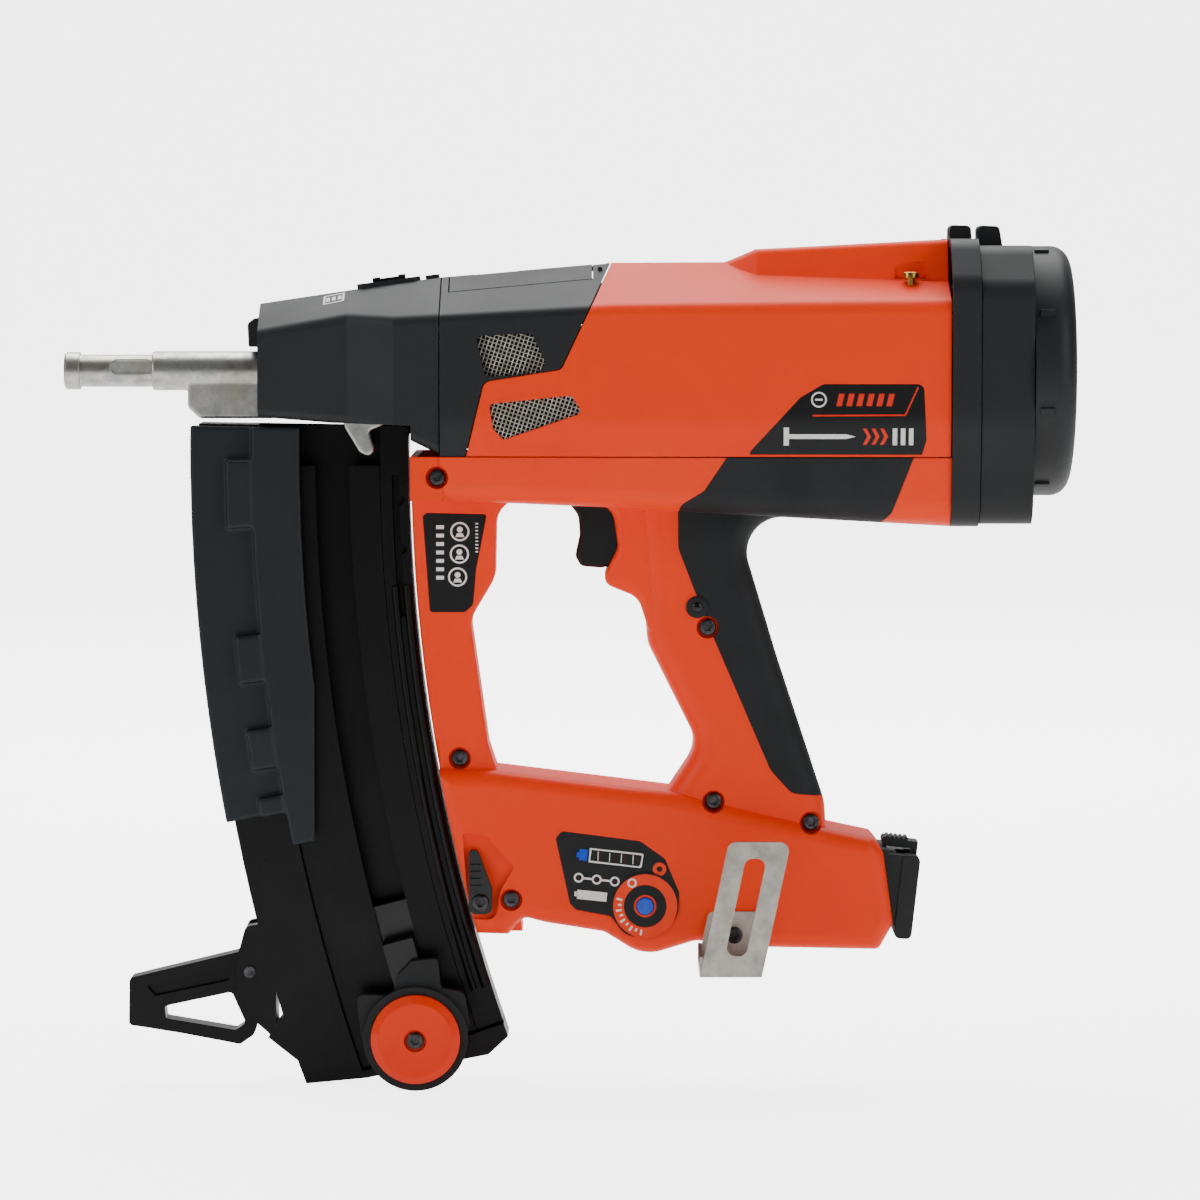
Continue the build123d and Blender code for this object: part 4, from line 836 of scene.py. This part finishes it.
buildGripTab()
buildProbeRims()
buildIconPlate()
print("small mouldings made")


# castings and mouldings with soft edges, in place of the sharp CAD solids

softForms = {
    # node: (grain of the new surface in mm, smoothing rounds, body, slot, name)
    "magazine_shield": (0.62, 9, "magazine", "shield_black", "shield_moulding"),
    "nose_guide": (0.60, 6, "frame", "zinc_steel", "nose_casting"),
}
boreR = 7.45                  # mm, over a probe of 6.9 and its rims
facesKept = 0.45              # share of the new surface's faces


def openBore(form):  # bores the casting again, so that the probe and its slot rims run clear
    low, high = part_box("nose_guide")
    middleX = (low[0] + high[0]) / 2
    bpy.ops.object.select_all(action="DESELECT")
    bpy.ops.mesh.primitive_cylinder_add(vertices=96, radius=boreR * mm, depth=high[0] - low[0] + 2 * mm,
                                        location=(middleX, 0, 0), rotation=(0, math.radians(90), 0))
    drill = settle(bpy.context.object, "drill")
    withModifier(form, "BOOLEAN", operation="DIFFERENCE", object=drill, solver="EXACT")
    removed(drill)


def softened(node):
    grain, rounds, body, slot, name = softForms[node]
    form = copyOf(nodes[node], name)
    form.parent = None
    merged(form)
    withModifier(form, "REMESH", mode="VOXEL", voxel_size=grain * mm, adaptivity=0.0)
    withModifier(form, "SMOOTH", factor=0.5, iterations=rounds)
    withModifier(form, "DECIMATE", decimate_type="COLLAPSE", ratio=facesKept)
    if node == "nose_guide":
        openBore(form)
    finished(smooth(form, 60), made[slot], body, [node])


for softNode in softForms:
    softened(softNode)
print("soft forms made")


# raised beads along the rear of the magazine

bead = {
    "centre": (900.0, -36.1),     # of the magazine's sweep, x and z in mm
    "paths": [(755.4, 1.9), (760.6, 1.5)],  # radius of the sweep and of the bead
    "face": -9.9,                 # y of the rail's left face
    "fromAngle": 4.2,
    "toAngle": 17.6,
    "steps": 48,
}


def buildBeads():
    centreX, centreZ = bead["centre"]
    start, sweep = math.radians(bead["fromAngle"]), math.radians(bead["toAngle"] - bead["fromAngle"])
    group = []
    for pathR, r in bead["paths"]:
        bpy.ops.object.select_all(action="DESELECT")
        bpy.ops.mesh.primitive_circle_add(vertices=16, radius=r * mm, fill_type="NGON",
                                          location=((centreX - pathR) * mm, bead["face"] * mm, centreZ * mm))
        rod = settle(bpy.context.object, "bead")
        turn = Matrix.Translation(Vector((centreX, 0, centreZ)) * mm)
        rod.data.transform(turn @ Matrix.Rotation(-start, 4, "Y") @ turn.inverted())
        pick(rod, "FACE", lambda centre, normal: True)
        bpy.ops.mesh.spin(steps=bead["steps"], angle=sweep, center=(centreX * mm, 0, centreZ * mm),
                          axis=(0, 1, 0))
        group.append(smooth(merged(rod), 50))
    finished(joined(group, "magazine_beads"), made["magazine_black"], "magazine")


buildBeads()
print("beads made")


# floor, light and camera

stage = {
    "floorHalf": 6.0,         # metres, as are the next three
    "floorGap": 0.0008,
    "wall": 6.0,
    "cove": 2.5,
    "aim": (0.2292, 0.0, -0.0985),
    "distance": 2.2,
    "elevation": 4.0,         # degrees
    "field": 0.516,           # width seen at the aim, in metres
    "floorGlow": 4.0,         # the lit backdrop as it is seen
    "floorFill": 0.35,        # what it gives back to the object
    "air": 0.06,
}

lights = {
    # name: (place, aim, width, height, watts)
    "overheadBox": ((0.15, 0.55, 1.25), (0.22, 0.0, 0.0), 1.9, 1.3, 40),
    "leftBox": ((-1.7, -1.3, 0.9), (0.2, 0.0, -0.1), 1.2, 1.4, 19),
    "rightBox": ((1.9, -1.5, 0.8), (0.25, 0.0, -0.1), 1.2, 1.4, 18),
    "backBox": ((0.3, 1.5, 1.2), (0.2, 3.0, -0.3), 2.6, 1.4, 60),
}


def buildFloor():
    lowest = cadBounds[0][2] - stage["floorGap"]
    bpy.ops.object.select_all(action="DESELECT")
    bpy.ops.mesh.primitive_plane_add(size=2 * stage["floorHalf"], location=(stage["aim"][0], 0, lowest))
    floor = bpy.context.object
    pick(floor, "EDGE", lambda a, b: min(a.y, b.y) > stage["floorHalf"] - 0.01)
    bpy.ops.mesh.extrude_edges_move(TRANSFORM_OT_translate={"value": (0, 0, stage["wall"])})
    pick(floor, "EDGE", lambda a, b: min(a.y, b.y) > stage["floorHalf"] - 0.01 and max(a.z, b.z) < 0.01)
    bpy.ops.mesh.bevel(offset=stage["cove"], segments=16)
    settle(floor, "studio_floor")
    smooth(floor, 60)
    material, tree, place = newMaterial("rolledWhitePaint")  # matt: only a trace of unevenness
    cloud = addNode(tree, "TexNoise", {"Scale": 1.5, "Detail": 2.0}, {"Vector": place})
    colour = addNode(tree, "Mix", {"data_type": "RGBA", 6: linear("#FBFBFA"), 7: linear("#F8F8F8")},
                     {0: cloud.outputs["Fac"]})
    rough = addNode(tree, "MapRange", {"To Min": 0.85, "To Max": 0.95}, {"Value": cloud.outputs["Fac"]})
    bump = addNode(tree, "Bump", {"Strength": 0.02, "Distance": 0.001}, {"Height": cloud.outputs["Fac"]})
    seen = addNode(tree, "LightPath")
    glow = addNode(tree, "MapRange", {"To Min": stage["floorFill"], "To Max": stage["floorGlow"]},
                   {"Value": seen.outputs["Is Camera Ray"]})
    shader = addNode(tree, "BsdfPrincipled", {"Emission Color": linear("#FFFFFF")},
                     {"Base Color": colour.outputs[2], "Roughness": rough.outputs["Result"],
                      "Normal": bump.outputs["Normal"], "Emission Strength": glow.outputs["Result"]})
    addNode(tree, "OutputMaterial", links={"Surface": shader.outputs["BSDF"]})
    floor.data.materials.append(material)


def buildLights():
    for name, (place, aim, width, height, watts) in lights.items():
        bpy.ops.object.light_add(type="AREA", location=place)
        lamp = bpy.context.object
        lamp.name = name
        lamp.data.shape = "RECTANGLE"
        lamp.data.size = width
        lamp.data.size_y = height
        lamp.data.energy = watts
        direction = Vector(aim) - Vector(place)
        lamp.rotation_euler = direction.to_track_quat("-Z", "Y").to_euler()
    world = bpy.data.worlds.new("studioAir")
    world.use_nodes = True
    air = world.node_tree
    seen = addNode(air, "LightPath")
    glow = addNode(air, "MapRange", {"To Min": stage["air"], "To Max": stage["floorGlow"]},
                   {"Value": seen.outputs["Is Camera Ray"]})
    background = air.nodes["Background"]
    background.inputs["Color"].default_value = (1, 1, 1, 1)
    air.links.new(glow.outputs["Result"], background.inputs["Strength"])
    bpy.context.scene.world = world


def buildCamera():
    lens = bpy.data.cameras.new("camera")
    lens.sensor_width = 36
    lens.lens = lens.sensor_width * stage["distance"] / stage["field"]
    lens.clip_end = 50
    camera = bpy.data.objects.new("camera", lens)
    bpy.context.scene.collection.objects.link(camera)
    rise = math.radians(stage["elevation"])
    away = Vector((0, -math.cos(rise), math.sin(rise))) * stage["distance"]
    camera.location = Vector(stage["aim"]) + away
    camera.rotation_euler = (-away).to_track_quat("-Z", "Y").to_euler()
    bpy.context.scene.camera = camera


buildFloor()
buildLights()
buildCamera()
print("stage built")
